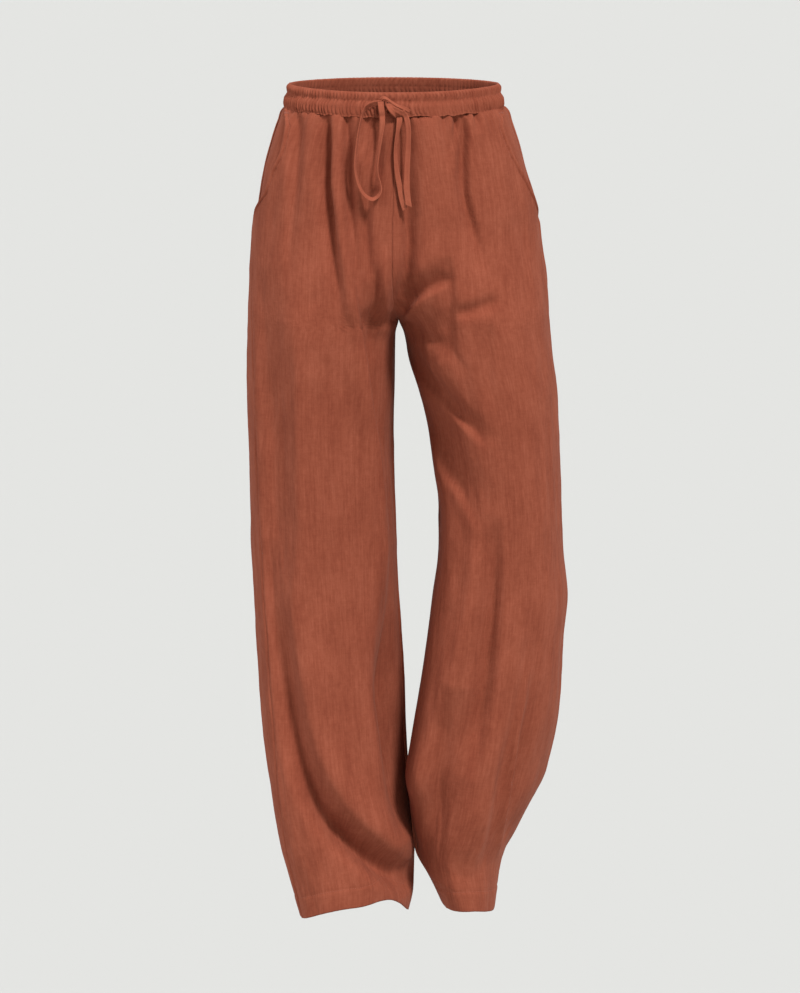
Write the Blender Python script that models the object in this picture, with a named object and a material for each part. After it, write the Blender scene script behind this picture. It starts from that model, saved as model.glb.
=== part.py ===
"""Linen drawstring trousers with wide legs, hollow, in the shape that they have when worn.

The origin is in the middle of the waist opening, level with the band's rim over the side
seams. +Z is up and the front faces -Y. Right and left are the wearer's: the right leg is at -X.

Sizes here are millimetres, and MM turns them into metres when a mesh is made. A level is a
distance down from the origin. At each level a half of the garment, waist to hem, is an arc of
a rounded ellipse. A turn is the place along it: 0 at the outer side, towards +90 degrees in
front and -90 degrees behind. Above the crotch the arc stops at the middle of the body, and
below it the arc closes on itself at the inseam. Folds are soft troughs and ridges along short
lines drawn on the front or the back, and the wall is carried inwards from the outer surface.
"""
import math
from collections import namedtuple

import bmesh
import bpy
import numpy as np

MM = 0.001

# Cloth and seams
WALL = 2.0
HEM_WALL = 3.0
HEM_DEPTH = 32.0
SEAM_GAP = 0.3
BAND_GAP = 0.4

# Waistband: a folded band over elastic, with one row of stitching between its two channels
BAND_HALF_WIDTH = 129.0
BAND_HALF_DEPTH = 95.0
BAND_HEIGHT = 27.5
RIM_FRONT_DIP = 6.0
RIM_BACK_RISE = 2.5
GATHERS = 144
INNER_BAND_COLUMNS = 72

# The section is an ellipse with slightly fuller corners. Its normals are worked out between
# places this far to each side, in radians and in millimetres
FULLNESS = 2.2
BESIDE_TURN = 0.004
BESIDE_DOWN = 0.5

# The seat seam leaves the middle of the body at SEAT_TOP and is a U down to the crotch
SEAT_TOP = 166.0
CROTCH = 292.0
SEAT_EASE = 1.5

# How far below the waist the dip of the rim and the slant of the hem still count
DIP_END = 130.0
HEM_SLANT_START = 880.0

# Level, outer side, front and back of each half, how far the section leans, and the side
# seam's turn towards the front in degrees
Level = namedtuple("Level", "down outer front back lean seam")
LEVELS = {
    "right": [
        Level(27, -136, -102, 102, 0, 0),
        Level(34, -141, -105, 105, 0, 0),
        Level(49, -148, -108, 109, 0, 0),
        Level(71, -155, -110, 115, 0, 0),
        Level(100, -163, -113, 124, 0, 0),
        Level(148, -171, -116, 136, 0, 0),
        Level(189, -176, -117, 141, 0, 4),
        Level(248, -180, -117, 139, 0, 15),
        Level(300, -182, -115, 133, 0, 24),
        Level(378, -182, -110, 122, 0, 29),
        Level(479, -180, -104, 112, 4, 31),
        Level(581, -177, -99, 104, 10, 32),
        Level(683, -172, -96, 99, 16, 34),
        Level(787, -166, -95, 96, 24, 35),
        Level(865, -157, -95, 94, 32, 32),
        Level(943, -144, -97, 90, 34, 27),
        Level(983, -134, -99, 87, 33, 24),
        Level(1050, -116, -101, 82, 30, 20),
    ],
    "left": [
        Level(27, 136, -102, 102, 0, 0),
        Level(34, 142, -105, 105, 0, 0),
        Level(49, 148, -108, 109, 0, 0),
        Level(71, 156, -110, 115, 0, 0),
        Level(100, 164, -113, 124, 0, 0),
        Level(148, 177, -116, 136, 0, 0),
        Level(189, 181, -117, 141, 0, 2),
        Level(248, 191, -117, 139, 0, 6),
        Level(300, 194, -115, 133, 0, 9),
        Level(378, 203, -110, 122, 0, 11),
        Level(479, 207, -103, 113, -4, 12),
        Level(581, 212, -97, 107, -10, 12),
        Level(640, 218, -94, 105, -13, 12),
        Level(700, 215, -91, 104, -17, 12),
        Level(787, 211, -87, 106, -24, 12),
        Level(865, 197, -81, 112, -34, 12),
        Level(943, 160, -73, 125, -32, 12),
        Level(983, 139, -67, 135, -22, 12),
        Level(1050, 128, -60, 148, -8, 12),
    ],
}

# The middle of the body above the crotch, and the inner side of each leg below it
Side = namedtuple("Side", "down x")
MIDDLE = [Side(27, 0), Side(100, 0), Side(189, -2), Side(248, -1), Side(292, 6)]
INNER = {
    "right": [
        Side(292, 6), Side(308, 2), Side(378, 1), Side(428, -1), Side(530, 2), Side(632, 6),
        Side(735, 13), Side(826, 16), Side(904, 21), Side(970, 26), Side(1010, 25),
        Side(1050, 16),
    ],
    "left": [
        Side(292, 6), Side(306, 12), Side(340, 19), Side(378, 31), Side(428, 43), Side(479, 51),
        Side(530, 57), Side(581, 56), Side(632, 49), Side(735, 35), Side(826, 20),
        Side(866, 14), Side(904, 20), Side(945, 23), Side(975, 27), Side(1010, 43),
        Side(1050, 62),
    ],
}

# The hem's level, and how much higher it lies in front, behind, outside, inside, and between
# the front and the inside
Hem = namedtuple("Hem", "down front back outer inner arch")
HEMS = {
    "right": Hem(1040, 24, -8, -1, -12, 12),
    "left": Hem(1044, 11, 4, -9, 4, 0),
}

# Slant pocket mouths: level and the turn of the front panel's edge, in degrees
Mouth = namedtuple("Mouth", "down right left")
MOUTH = [
    Mouth(27, 15, 17),
    Mouth(47, 23, 23),
    Mouth(80, 24, 21),
    Mouth(105, 21, 17),
    Mouth(130, 19, 13),
    Mouth(150, 9, 8),
    Mouth(166, 0, 0),
]
POCKET_END = 166.0

# Pocket bags: a thin layer behind the front panel, which turns back at its inner edge, runs
# outwards behind itself and ends in the facing strip that shows outside the mouth
POCKET_WALL = 1.2
POCKET_CLEARANCE = 0.8
POCKET_ROOM = 9.0
POCKET_LEAST_ROOM = 0.5
POCKET_ROWS = 11
POCKET_COLUMNS = 8
POCKET_SETBACK = 0.25
POCKET_TOP_EASE = 30.0
POCKET_BOTTOM_EASE = 40.0
POCKET_TURNBACK = 0.55
FACING_COLUMNS = 3
FACING_UNDER_BACK = 4.0
FACING_CLEARANCE = 0.6
FACING_END_RUN = 14.0
FACING_END_TURN = 0.03

# Folds: the side of the garment, the leg or both, the width of the fold, and along its line
# the level, x and depth of the trough. A ridge has a negative depth.
Fold = namedtuple("Fold", "name face half width line")
FOLDS = [
    Fold("side pleat", "front", "right", 5,
         [(28, -117, 1), (44, -118, 6), (65, -121, 6), (111, -126, 6), (253, -125, 0)]),
    Fold("deep pleat", "front", "right", 5,
         [(28, -86, 1), (44, -84, 9), (62, -81, 13), (99, -83, 14), (148, -77, 14),
          (209, -67, 10), (290, -59, 0)]),
    Fold("pleat ridge", "front", "right", 9,
         [(60, -69, 0), (133, -65, -4), (241, -53, -5), (329, -37, -6), (412, -29, -6),
          (481, -17, -4), (623, -14, -4), (799, -12, -4), (880, -2, -3), (960, 12, 0)]),
    Fold("second pleat", "front", "right", 5,
         [(30, -57, 1), (44, -58, 8), (87, -61, 12), (130, -57, 12), (160, -56, 9),
          (253, -50, 0)]),
    Fold("middle pleat", "front", "right", 5.5,
         [(31, -24, 1), (46, -22, 8), (91, -24, 10), (133, -30, 8), (205, -33, 5),
          (326, -26, 0)]),
    Fold("long sweep", "front", "right", 12,
         [(193, -146, 0), (290, -143, 5), (400, -141, 6), (523, -134, 8), (623, -127, 9),
          (736, -116, 11), (825, -96, 13), (888, -72, 13), (929, -38, 12), (985, 2, 9)]),
    Fold("side crease", "front", "right", 7,
         [(308, -165, 0), (412, -160, -3), (487, -151, -3), (621, -133, -3), (700, -119, 0)]),
    Fold("hem hollow", "front", "right", 13,
         [(880, -120, 0), (960, -92, 6), (1045, -84, 8)]),
    Fold("middle gather", "front", "both", 5.5,
         [(32, 13, 1), (46, 13, 7), (73, 13, 9), (103, 16, 9), (178, 20, 6), (272, 12, 0)]),
    Fold("inner tuck", "front", "left", 5.5,
         [(30, 61, 1), (44, 61, 6), (81, 64, 5), (125, 66, 0)]),
    Fold("long tuck", "front", "left", 5,
         [(29, 89, 1), (42, 89, 9), (62, 89, 12), (124, 88, 13), (148, 92, 12), (175, 99, 9),
          (222, 107, 0)]),
    Fold("outer tuck", "front", "left", 5,
         [(28, 108, 1), (40, 108, 4), (62, 110, 3), (90, 112, 0)]),
    Fold("crotch arch", "front", "left", 7,
         [(284, 8, 2), (261, 14, 5), (246, 23, 6), (236, 38, 6), (223, 56, 5), (210, 64, 0)]),
    Fold("arch side", "front", "left", 8,
         [(215, 66, 0), (239, 71, 4), (269, 69, 6), (299, 63, 5), (330, 69, 0)]),
    Fold("upper drag", "front", "left", 9,
         [(325, 19, 2), (340, 30, 7), (359, 45, 8), (376, 63, 7), (394, 84, 5), (420, 106, 0)]),
    Fold("lower drag", "front", "left", 10,
         [(385, 45, 2), (405, 53, 6), (430, 68, 8), (456, 88, 6), (490, 104, 6), (530, 112, 3),
          (570, 118, 0)]),
    Fold("thigh dent", "front", "left", 8,
         [(279, 114, 0), (319, 114, 3), (370, 118, 3), (430, 120, 0)]),
    Fold("calf hollow", "front", "left", 14,
         [(560, 122, 0), (650, 114, 7), (748, 105, 11), (813, 84, 13), (860, 68, 14),
          (907, 56, 13), (943, 51, 11), (1050, 60, 7)]),
    Fold("shin ridge", "front", "left", 8,
         [(700, 139, 0), (743, 134, -4), (837, 116, -6), (884, 104, -6), (932, 99, -5),
          (1000, 94, 0)]),
    Fold("outer ridge", "front", "left", 8,
         [(640, 172, 0), (700, 163, -4), (766, 154, -6), (825, 145, -6), (884, 138, -4),
          (940, 129, 0)]),
    Fold("seat pleat 1", "back", "right", 6.5,
         [(26, -24, 1), (42, -25, 6), (82, -28, 7), (150, -33, 5), (240, -37, 0)]),
    Fold("seat pleat 2", "back", "right", 6.5,
         [(26, -58, 1), (42, -59, 7), (90, -63, 8), (175, -71, 6), (310, -80, 0)]),
    Fold("seat pleat 3", "back", "right", 7,
         [(27, -92, 1), (42, -93, 6), (100, -98, 6), (190, -109, 4), (320, -119, 0)]),
    Fold("seat pleat 4", "back", "right", 6,
         [(27, -119, 1), (40, -120, 4), (80, -125, 4), (140, -131, 0)]),
    Fold("seat drape", "back", "right", 13,
         [(262, -16, 0), (305, -42, 6), (345, -82, 9), (388, -125, 6), (430, -155, 0)]),
    Fold("lower drape", "back", "right", 11,
         [(345, -20, 0), (388, -48, 5), (432, -90, 6), (480, -126, 0)]),
    Fold("back sweep", "back", "right", 14,
         [(430, -66, 0), (530, -76, 7), (650, -86, 10), (770, -80, 12), (890, -66, 13),
          (1050, -54, 12)]),
    Fold("back outer fall", "back", "right", 11,
         [(570, -134, 0), (690, -130, 6), (820, -120, 8), (940, -106, 9), (1050, -92, 8)]),
    Fold("back inner fall", "back", "right", 10,
         [(520, -26, 0), (640, -24, 6), (790, -18, 8), (930, -14, 8), (1050, -12, 6)]),
    Fold("seat pleat 5", "back", "left", 6.5,
         [(26, 18, 1), (42, 19, 6), (88, 22, 7), (160, 26, 5), (255, 30, 0)]),
    Fold("seat pleat 6", "back", "left", 6.5,
         [(26, 50, 1), (42, 51, 7), (95, 55, 8), (190, 63, 5), (290, 70, 0)]),
    Fold("seat pleat 7", "back", "left", 7,
         [(27, 84, 1), (42, 85, 6), (85, 88, 7), (180, 99, 5), (340, 112, 0)]),
    Fold("seat pleat 8", "back", "left", 6,
         [(27, 113, 1), (40, 114, 5), (88, 120, 4), (150, 128, 0)]),
    Fold("left seat drape", "back", "left", 13,
         [(268, 26, 0), (308, 58, 6), (352, 98, 9), (396, 140, 6), (436, 172, 0)]),
    Fold("left lower drape", "back", "left", 11,
         [(362, 52, 0), (404, 78, 6), (450, 116, 6), (500, 152, 0)]),
    Fold("left back sweep", "back", "left", 14,
         [(470, 118, 0), (560, 126, 7), (670, 130, 10), (780, 124, 12), (890, 108, 12),
          (1050, 94, 11)]),
    Fold("left outer fall", "back", "left", 11,
         [(540, 174, 0), (650, 178, 6), (770, 172, 8), (870, 150, 8), (960, 124, 6),
          (1050, 116, 4)]),
    Fold("left inner fall", "back", "left", 10,
         [(600, 78, 0), (700, 72, 6), (800, 62, 8), (900, 56, 8), (1050, 70, 5)]),
]
FOLD_STEPS = 14
EDGE_EASE_INNER = 0.30
EDGE_EASE_OUTER = 0.16

# Rows of the panels, levels down from the waist; the hem's rows are added for each leg
PANEL_ROWS = [
    36, 47, 64, 90, 120, 148, 166, 192, 220, 246, 268, 283, CROTCH, 308, 350, 410, 480, 560,
    642, 724, 796, 858, 912, 962,
]
PANEL_COLUMNS = {"front": 25, "back": 20}
PANEL_END_CLEARANCE = 14.0
HEM_STEP = 4.0
GUIDED_ROWS = 8
LEAST_SHARE = 0.022
CROWDING = 0.35

# Folds that a column of points runs along, from the outer side inwards
GUIDES = {
    ("right", "front"): ["side pleat", "deep pleat", "second pleat", "middle pleat"],
    ("left", "front"): ["outer tuck", "long tuck", "inner tuck", "middle gather"],
    ("right", "back"): ["seat pleat 4", "seat pleat 3", "seat pleat 2", "seat pleat 1"],
    ("left", "back"): ["seat pleat 8", "seat pleat 7", "seat pleat 6", "seat pleat 5"],
}

# Waistband rows from the rim down: how far each stands out and the height of its gathers
BandRow = namedtuple("BandRow", "drop out wave")
BAND_ROWS = [
    BandRow(0.0, 0.0, 0.7),
    BandRow(4.8, 2.4, 1.3),
    BandRow(9.8, 2.0, 0.5),
    BandRow(14.6, 5.2, 1.4),
    BandRow(21.0, 6.8, 1.6),
    BandRow(27.5, 6.2, 0.6),
]
BAND_LINING_ROWS = [(0.0, -2.6), (9.8, -1.0), (21.0, 3.2), (27.5, 3.4)]

# Drawstring: a flat sewn tie. Along it: x, level, lift off the front, and the turn of its
# width in degrees, 0 when its face looks forwards
TIE_WIDTH = 7.0
TIE_THICK = 1.8
TIE_STEP = 7.0
Tie = namedtuple("Tie", "x down lift turn")
TIES = {
    "drawstring_loop": [
        Tie(-10.2, 18.0, 5.6, 15), Tie(-17, 17.2, 5.9, 20), Tie(-24, 18.0, 6.4, 25),
        Tie(-30.5, 20.5, 6.5, 40),
        Tie(-35.4, 26, 6.0, 55), Tie(-40.2, 43, 5.0, 60), Tie(-43.8, 66, 4.6, 62),
        Tie(-46.3, 94, 4.6, 62), Tie(-43, 113, 4.8, 60), Tie(-36, 126, 5.0, 55),
        Tie(-27, 131.5, 5.2, 50), Tie(-19.5, 129, 5.2, 55), Tie(-15.4, 121, 5.0, 60),
        Tie(-16.2, 112, 4.8, 62), Tie(-18.8, 104, 4.8, 62), Tie(-19.6, 90, 4.8, 58),
        Tie(-15.8, 66, 5.2, 45), Tie(-11.8, 43, 7.0, 15), Tie(-13.0, 30.5, 9.4, 0),
        Tie(-14.2, 21.0, 10.2, 0),
    ],
    "drawstring_end_a": [
        Tie(5.2, 30.8, 6.0, 0), Tie(7.6, 37, 5.5, 10), Tie(6.0, 49, 4.6, 40),
        Tie(2.4, 71, 4.4, 50), Tie(4.6, 95, 4.2, 40), Tie(9.2, 117, 3.6, 15),
        Tie(13.8, 137, 3.4, 0), Tie(16.4, 147, 3.4, 0),
    ],
    "drawstring_end_b": [
        Tie(10.8, 27.1, 8.5, -5), Tie(17.2, 35, 8.2, -15), Tie(20.6, 48, 7.2, -20),
        Tie(20.8, 66, 7.0, -15), Tie(18.6, 95, 6.6, -5), Tie(18.9, 119, 6.4, 0),
        Tie(20.6, 132, 6.2, 0), Tie(22.2, 140.5, 6.2, 0),
    ],
}
KNOT_CENTRE = (0.5, 21.8)
KNOT_HALF_SIZE = (12.0, 4.8, 6.2)
KNOT_TILT = 24.0
KNOT_LIFT = 6.4
KNOT_SIDES = 12
KNOT_RINGS = 7

LINEN = (0.351, 0.083, 0.043, 1.0)
LINEN_DARK = (0.27, 0.062, 0.033, 1.0)


def eased(share):
    """0 to 1 with a soft start and end."""
    share = np.clip(share, 0.0, 1.0)
    return share * share * (3.0 - 2.0 * share)


def through(stations, values, at):
    """Smooth curve through one column of a table, which never swings past its rows."""
    stations = np.asarray(stations, dtype=float)
    values = np.asarray(values, dtype=float)
    step = np.diff(stations)
    slope = np.diff(values) / step
    tangent = np.zeros(len(values))
    tangent[0] = slope[0]
    tangent[-1] = slope[-1]
    product = slope[:-1] * slope[1:]
    total = slope[:-1] + slope[1:]
    same_way = product > 0
    tangent[1:-1][same_way] = 2.0 * product[same_way] / total[same_way]
    at = np.asarray(at, dtype=float)
    row = np.clip(np.searchsorted(stations, at, side="right") - 1, 0, len(step) - 1)
    share = np.clip((at - stations[row]) / step[row], 0.0, 1.0)
    run = step[row]
    start = values[row] * (1 + 2 * share) * (1 - share) ** 2
    end = values[row + 1] * share ** 2 * (3 - 2 * share)
    bend = run * share * (1 - share) * (tangent[row] * (1 - share) - tangent[row + 1] * share)
    return start + end + bend


def column(table, name, at):
    """One named column of a table of rows that start with their level, at some levels."""
    stations = [row.down for row in table]
    values = [getattr(row, name) for row in table]
    return through(stations, values, at)


def outward(half):
    """+1 on the left half and -1 on the right half."""
    return 1.0 if half == "left" else -1.0


def inner_side(half, down):
    """x of the middle of the body above the crotch, and of the leg's inner side below it."""
    above = column(MIDDLE, "x", np.minimum(down, CROTCH))
    below = column(INNER[half], "x", np.maximum(down, CROTCH))
    return np.where(down < CROTCH, above, below)


def closing(down):
    """0 where a half's arc ends at the body's widest plane, 1 where it closes at the inseam."""
    share = np.clip((CROTCH - down) / (CROTCH - SEAT_TOP), 0.0, 1.0)
    return (1.0 - share) ** SEAT_EASE


def last_turn(down):
    """The turn at which the arc reaches the middle of the body, or the inseam."""
    return np.arccos(-closing(down) ** (FULLNESS / 2.0))


def seam_turn(half, down):
    """The turn of the side seam."""
    return np.radians(column(LEVELS[half], "seam", down))


def front_edge_turn(half, down):
    """The turn of the front panel's outer edge: the pocket mouth, and the side seam below."""
    mouth = np.radians(column(MOUTH, half, np.minimum(down, POCKET_END)))
    return np.where(down < POCKET_END, mouth, seam_turn(half, down))


def section(half, turn, down):
    """Points of the smooth garment, before its folds: an arc of a rounded ellipse."""
    turn, down = np.broadcast_arrays(turn, down)
    side = outward(half)
    table = LEVELS[half]
    inner = inner_side(half, down) + side * SEAM_GAP / 2
    span = np.abs(column(table, "outer", down) - inner)
    share = closing(down)
    half_width = span / (1 + share)
    middle = inner + side * share * half_width
    front = column(table, "front", down)
    back = column(table, "back", down)
    cosine = np.cos(turn)
    sine = np.sin(turn)
    power = 2.0 / FULLNESS
    across = np.sign(cosine) * np.abs(cosine) ** power
    forward = np.sign(sine) * np.abs(sine) ** power
    x = middle + side * half_width * across
    y = (front + back) / 2 - (back - front) / 2 * forward
    y = y - column(table, "lean", down) * cosine
    toward_front = np.clip(forward, 0, 1) ** 2
    toward_back = np.clip(-forward, 0, 1) ** 2
    toward_outside = np.clip(across, 0, 1) ** 2
    toward_inside = np.clip(-across, 0, 1) ** 2
    hem = HEMS[half]
    slant = (hem.front * toward_front + hem.back * toward_back
             + hem.outer * toward_outside + hem.inner * toward_inside
             + hem.arch * 4 * toward_front * toward_inside)
    low = eased((down - HEM_SLANT_START) / (hem.down - HEM_SLANT_START))
    dip = RIM_BACK_RISE * toward_back - RIM_FRONT_DIP * toward_front
    high = 1 - eased((down - BAND_HEIGHT) / (DIP_END - BAND_HEIGHT))
    z = -down + slant * low + dip * high
    return np.stack([x, y, z], axis=-1)


def facing_out(half, turn, down):
    """Unit normals of the smooth garment, pointing out of it."""
    turn, down = np.broadcast_arrays(turn, down)
    around = section(half, turn + BESIDE_TURN, down) - section(half, turn - BESIDE_TURN, down)
    along = section(half, turn, down + BESIDE_DOWN) - section(half, turn, down - BESIDE_DOWN)
    normal = np.cross(around, along) * outward(half)
    return normal / np.linalg.norm(normal, axis=-1, keepdims=True)


def fold_line(fold):
    """A fold's line as level, x and depth, with more rows than its table has."""
    rows = np.array(fold.line, dtype=float)
    places = np.arange(len(rows))
    fine = np.linspace(0, len(rows) - 1, FOLD_STEPS)
    return np.stack([through(places, rows[:, k], fine) for k in range(3)], axis=-1)


def fold_depth(fold, x, z):
    """How far one fold sinks the cloth at a place seen from the front or the back."""
    line = fold_line(fold)
    nearest = np.full(x.shape, np.inf)
    depth = np.zeros(x.shape)
    for (down_0, x_0, depth_0), (down_1, x_1, depth_1) in zip(line, line[1:]):
        run_x = x_1 - x_0
        run_z = down_0 - down_1
        along = ((x - x_0) * run_x + (z + down_0) * run_z) / (run_x ** 2 + run_z ** 2)
        along = np.clip(along, 0, 1)
        apart = (x - x_0 - along * run_x) ** 2 + (z + down_0 - along * run_z) ** 2
        closer = apart < nearest
        nearest = np.where(closer, apart, nearest)
        depth = np.where(closer, depth_0 + along * (depth_1 - depth_0), depth)
    return depth * np.exp(-nearest / (2 * fold.width ** 2))


def sunk(half, turn, down):
    """Depth of all folds together, fading out at the side seam and the inseam."""
    turn, down = np.broadcast_arrays(turn, down)
    place = section(half, turn, down)
    in_front = turn > seam_turn(half, down)
    total = np.zeros(turn.shape)
    for fold in FOLDS:
        if fold.half not in (half, "both"):
            continue
        here = in_front if fold.face == "front" else ~in_front
        total = total + np.where(here, fold_depth(fold, place[..., 0], place[..., 2]), 0.0)
    from_seam = np.abs(turn - seam_turn(half, down))
    from_inseam = last_turn(down) - np.abs(turn)
    closed = closing(down) ** 4
    total = total * eased(from_seam / EDGE_EASE_OUTER)
    return total * (1 - closed * (1 - eased(from_inseam / EDGE_EASE_INNER)))


def cloth(half, turn, down, inward=0.0):
    """Points of the folded cloth, or of a layer that lies inward of it."""
    turn, down = np.broadcast_arrays(turn, down)
    points = section(half, turn, down)
    points = points - facing_out(half, turn, down) * (sunk(half, turn, down) + inward)[..., None]
    side = outward(half)
    beside = side * (points[..., 0] - inner_side(half, down))
    kept_apart = inner_side(half, down) + side * np.maximum(beside, SEAM_GAP / 2)
    points[..., 0] = np.where(down < CROTCH, kept_apart, points[..., 0])
    return points


def make_solid(name, points, faces, colour=LINEN):
    """A named object with its own material, from points in millimetres and their faces."""
    mesh = bpy.data.meshes.new(name)
    mesh.from_pydata((np.asarray(points) * MM).tolist(), [], faces)
    shape = bmesh.new()
    shape.from_mesh(mesh)
    bmesh.ops.recalc_face_normals(shape, faces=shape.faces)
    bmesh.ops.triangulate(shape, faces=shape.faces)
    shape.to_mesh(mesh)
    shape.free()
    mesh.shade_smooth()
    material = bpy.data.materials.new(name)
    material.use_nodes = True
    finish = material.node_tree.nodes["Principled BSDF"]
    finish.inputs["Base Color"].default_value = colour
    finish.inputs["Roughness"].default_value = 0.9
    finish.inputs["Metallic"].default_value = 0.0
    mesh.materials.append(material)
    solid = bpy.data.objects.new(name, mesh)
    bpy.context.scene.collection.objects.link(solid)
    return solid


def wall_faces(rows, columns):
    """Faces of a wall between two grids of points, the outer one first."""
    faces = []
    lining = rows * columns
    for row in range(rows - 1):
        for place in range(columns - 1):
            corner = row * columns + place
            quad = [corner, corner + 1, corner + columns + 1, corner + columns]
            faces.append(quad)
            faces.append([lining + point for point in reversed(quad)])
    rim = [place for place in range(columns)]
    rim += [row * columns + columns - 1 for row in range(1, rows)]
    rim += [(rows - 1) * columns + place for place in range(columns - 2, -1, -1)]
    rim += [row * columns for row in range(rows - 2, 0, -1)]
    for here, after in zip(rim, rim[1:] + rim[:1]):
        faces.append([after, here, lining + here, lining + after])
    return faces


def make_wall(name, outer, lining, colour=LINEN):
    """A cloth wall between two grids of points."""
    rows, columns = outer.shape[:2]
    points = np.concatenate([outer.reshape(-1, 3), lining.reshape(-1, 3)])
    return make_solid(name, points, wall_faces(rows, columns), colour)


def guide_turns(half, fold, down):
    """Where a fold runs, as a share of the way from the panel's outer edge to its inner one."""
    line = fold_line(fold)
    x = np.interp(down, line[:, 0], line[:, 1])
    side = outward(half)
    inner = inner_side(half, down)
    share = closing(down)
    half_width = np.abs(column(LEVELS[half], "outer", down) - inner) / (1 + share)
    across = (side * (x - inner) - share * half_width) / half_width
    cosine = np.sign(across) * np.abs(np.clip(across, -1, 1)) ** (FULLNESS / 2)
    turn = np.arccos(np.clip(cosine, -1, 1))
    if fold.face == "front":
        start = front_edge_turn(half, down)
    else:
        start = -seam_turn(half, down)
    span = last_turn(down) - start
    shares = (turn - start) / span
    first, last = line[0, 0], line[-1, 0]
    held = np.clip(down, first, last)
    return np.interp(held, down, shares)


def panel_shares(half, face, down):
    """Columns of a panel as shares from its outer edge to its inner one, along the guides."""
    count = PANEL_COLUMNS[face]
    guides = [fold for name in GUIDES[half, face] for fold in FOLDS if fold.name == name]
    lines = [np.zeros(len(down))]
    lines += [guide_turns(half, fold, down) for fold in guides]
    lines.append(np.ones(len(down)))
    means = [line[:GUIDED_ROWS].mean() for line in lines]
    inside = [max(2, round((high - low) * (count - 1))) for low, high in zip(means, means[1:])]
    for place in range(len(guides), 0, -1):
        lines[place] = np.minimum(lines[place], lines[place + 1] - LEAST_SHARE * inside[place])
    shares = []
    for left, right, between in zip(lines, lines[1:], inside):
        for place in range(between):
            share = place / between
            share -= CROWDING * math.sin(2 * math.pi * share) / (2 * math.pi)
            shares.append(left + (right - left) * share)
    shares.append(lines[-1])
    return np.stack(shares, axis=-1)


def panel_levels(half, rows):
    """Rows of a panel: the top edge, the given levels, the hem's doubled depth and its edge."""
    hem = HEMS[half].down
    doubled = hem - HEM_DEPTH
    levels = [BAND_HEIGHT + BAND_GAP]
    levels += [row for row in rows if row < doubled - PANEL_END_CLEARANCE]
    return np.array(levels + [doubled - HEM_STEP, doubled, hem], dtype=float)


def panel_grid(half, face):
    """Turns and levels of a panel's points."""
    down = panel_levels(half, PANEL_ROWS)
    shares = panel_shares(half, face, down)
    down = down[:, None]
    if face == "front":
        start = front_edge_turn(half, down)
        end = last_turn(down)
    else:
        start = seam_turn(half, down)
        end = -last_turn(down)
    return start + shares * (end - start), down


def pull_in(points, down):
    """Draw the side seam's edge and the inseam's edge of a panel back by half a seam gap."""
    points = points.copy()
    at_inseam = np.where(down >= CROTCH, SEAM_GAP / 2, 0.0)
    for edge, beside, distance in ((0, 1, SEAM_GAP / 2 + 0 * down), (-1, -2, at_inseam)):
        way = points[:, beside] - points[:, edge]
        way = way / np.linalg.norm(way, axis=-1, keepdims=True)
        points[:, edge] = points[:, edge] + way * distance
    return points


def make_panel(half, face):
    """A front or back leg panel from the waistband's seam to the hem, doubled at the hem."""
    turn, down = panel_grid(half, face)
    hem_start = HEMS[half].down - HEM_DEPTH
    thick = np.where(down >= hem_start, HEM_WALL, WALL) + np.zeros(turn.shape)
    outer = pull_in(cloth(half, turn, down), down)
    lining = pull_in(cloth(half, turn, down, thick), down)
    return make_wall(f"{face}_{half}", outer, lining)


def make_waistband():
    """The gathered band: a ring of waves over a plain inside."""
    count = 2 * GATHERS
    angle = np.arange(count) * 2 * math.pi / count
    crest = np.where(np.arange(count) % 2 == 0, 1.0, -1.0)
    uneven = 0.78 + 0.22 * np.sin(angle * 17 + 0.6) * np.cos(angle * 5)
    outer = []
    for row in BAND_ROWS:
        out = row.out + row.wave * crest * uneven
        outer.append(band_ring(angle, row.drop, out))
    angle_inside = np.arange(INNER_BAND_COLUMNS) * 2 * math.pi / INNER_BAND_COLUMNS
    inside = [band_ring(angle_inside, drop, out) for drop, out in BAND_LINING_ROWS]
    points = np.concatenate(outer + inside)
    faces = []
    for row in range(len(outer) - 1):
        faces += ring_faces(row * count, (row + 1) * count, count)
    start = len(outer) * count
    for row in range(len(inside) - 1):
        upper = start + row * INNER_BAND_COLUMNS
        faces += ring_faces(upper + INNER_BAND_COLUMNS, upper, INNER_BAND_COLUMNS)
    last_outer = (len(outer) - 1) * count
    last_inside = start + (len(inside) - 1) * INNER_BAND_COLUMNS
    faces += fan_faces(0, count, start, INNER_BAND_COLUMNS, False)
    faces += fan_faces(last_outer, count, last_inside, INNER_BAND_COLUMNS, True)
    return make_solid("waistband", points, faces)


def band_ring(angle, drop, out):
    """One row of the waistband, a given distance down from the rim and out from its ellipse."""
    power = 2.0 / FULLNESS
    across = np.sign(np.cos(angle)) * np.abs(np.cos(angle)) ** power
    forward = np.sign(np.sin(angle)) * np.abs(np.sin(angle)) ** power
    x = (BAND_HALF_WIDTH + out) * across
    y = -(BAND_HALF_DEPTH + out) * forward
    dip = (RIM_BACK_RISE * np.clip(-forward, 0, 1) ** 2
           - RIM_FRONT_DIP * np.clip(forward, 0, 1) ** 2)
    return np.stack([x, y, dip - drop], axis=-1)


def ring_faces(upper, lower, count):
    """Faces between two rings that have the same number of points."""
    return [[upper + place, lower + place, lower + (place + 1) % count,
             upper + (place + 1) % count] for place in range(count)]


def fan_faces(outer, outer_count, inside, inside_count, under):
    """Faces between a fine ring and a coarse one inside it, which share their first angle."""
    each = outer_count // inside_count
    faces = []
    for coarse in range(inside_count):
        here = inside + coarse
        after = inside + (coarse + 1) % inside_count
        first = outer + coarse * each
        for step in range(each):
            fine = first + step
            next_fine = outer + (coarse * each + step + 1) % outer_count
            faces.append([here, fine, next_fine])
        faces.append([here, outer + (coarse * each + each) % outer_count, after])
    return [face[::-1] for face in faces] if under else faces


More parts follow.
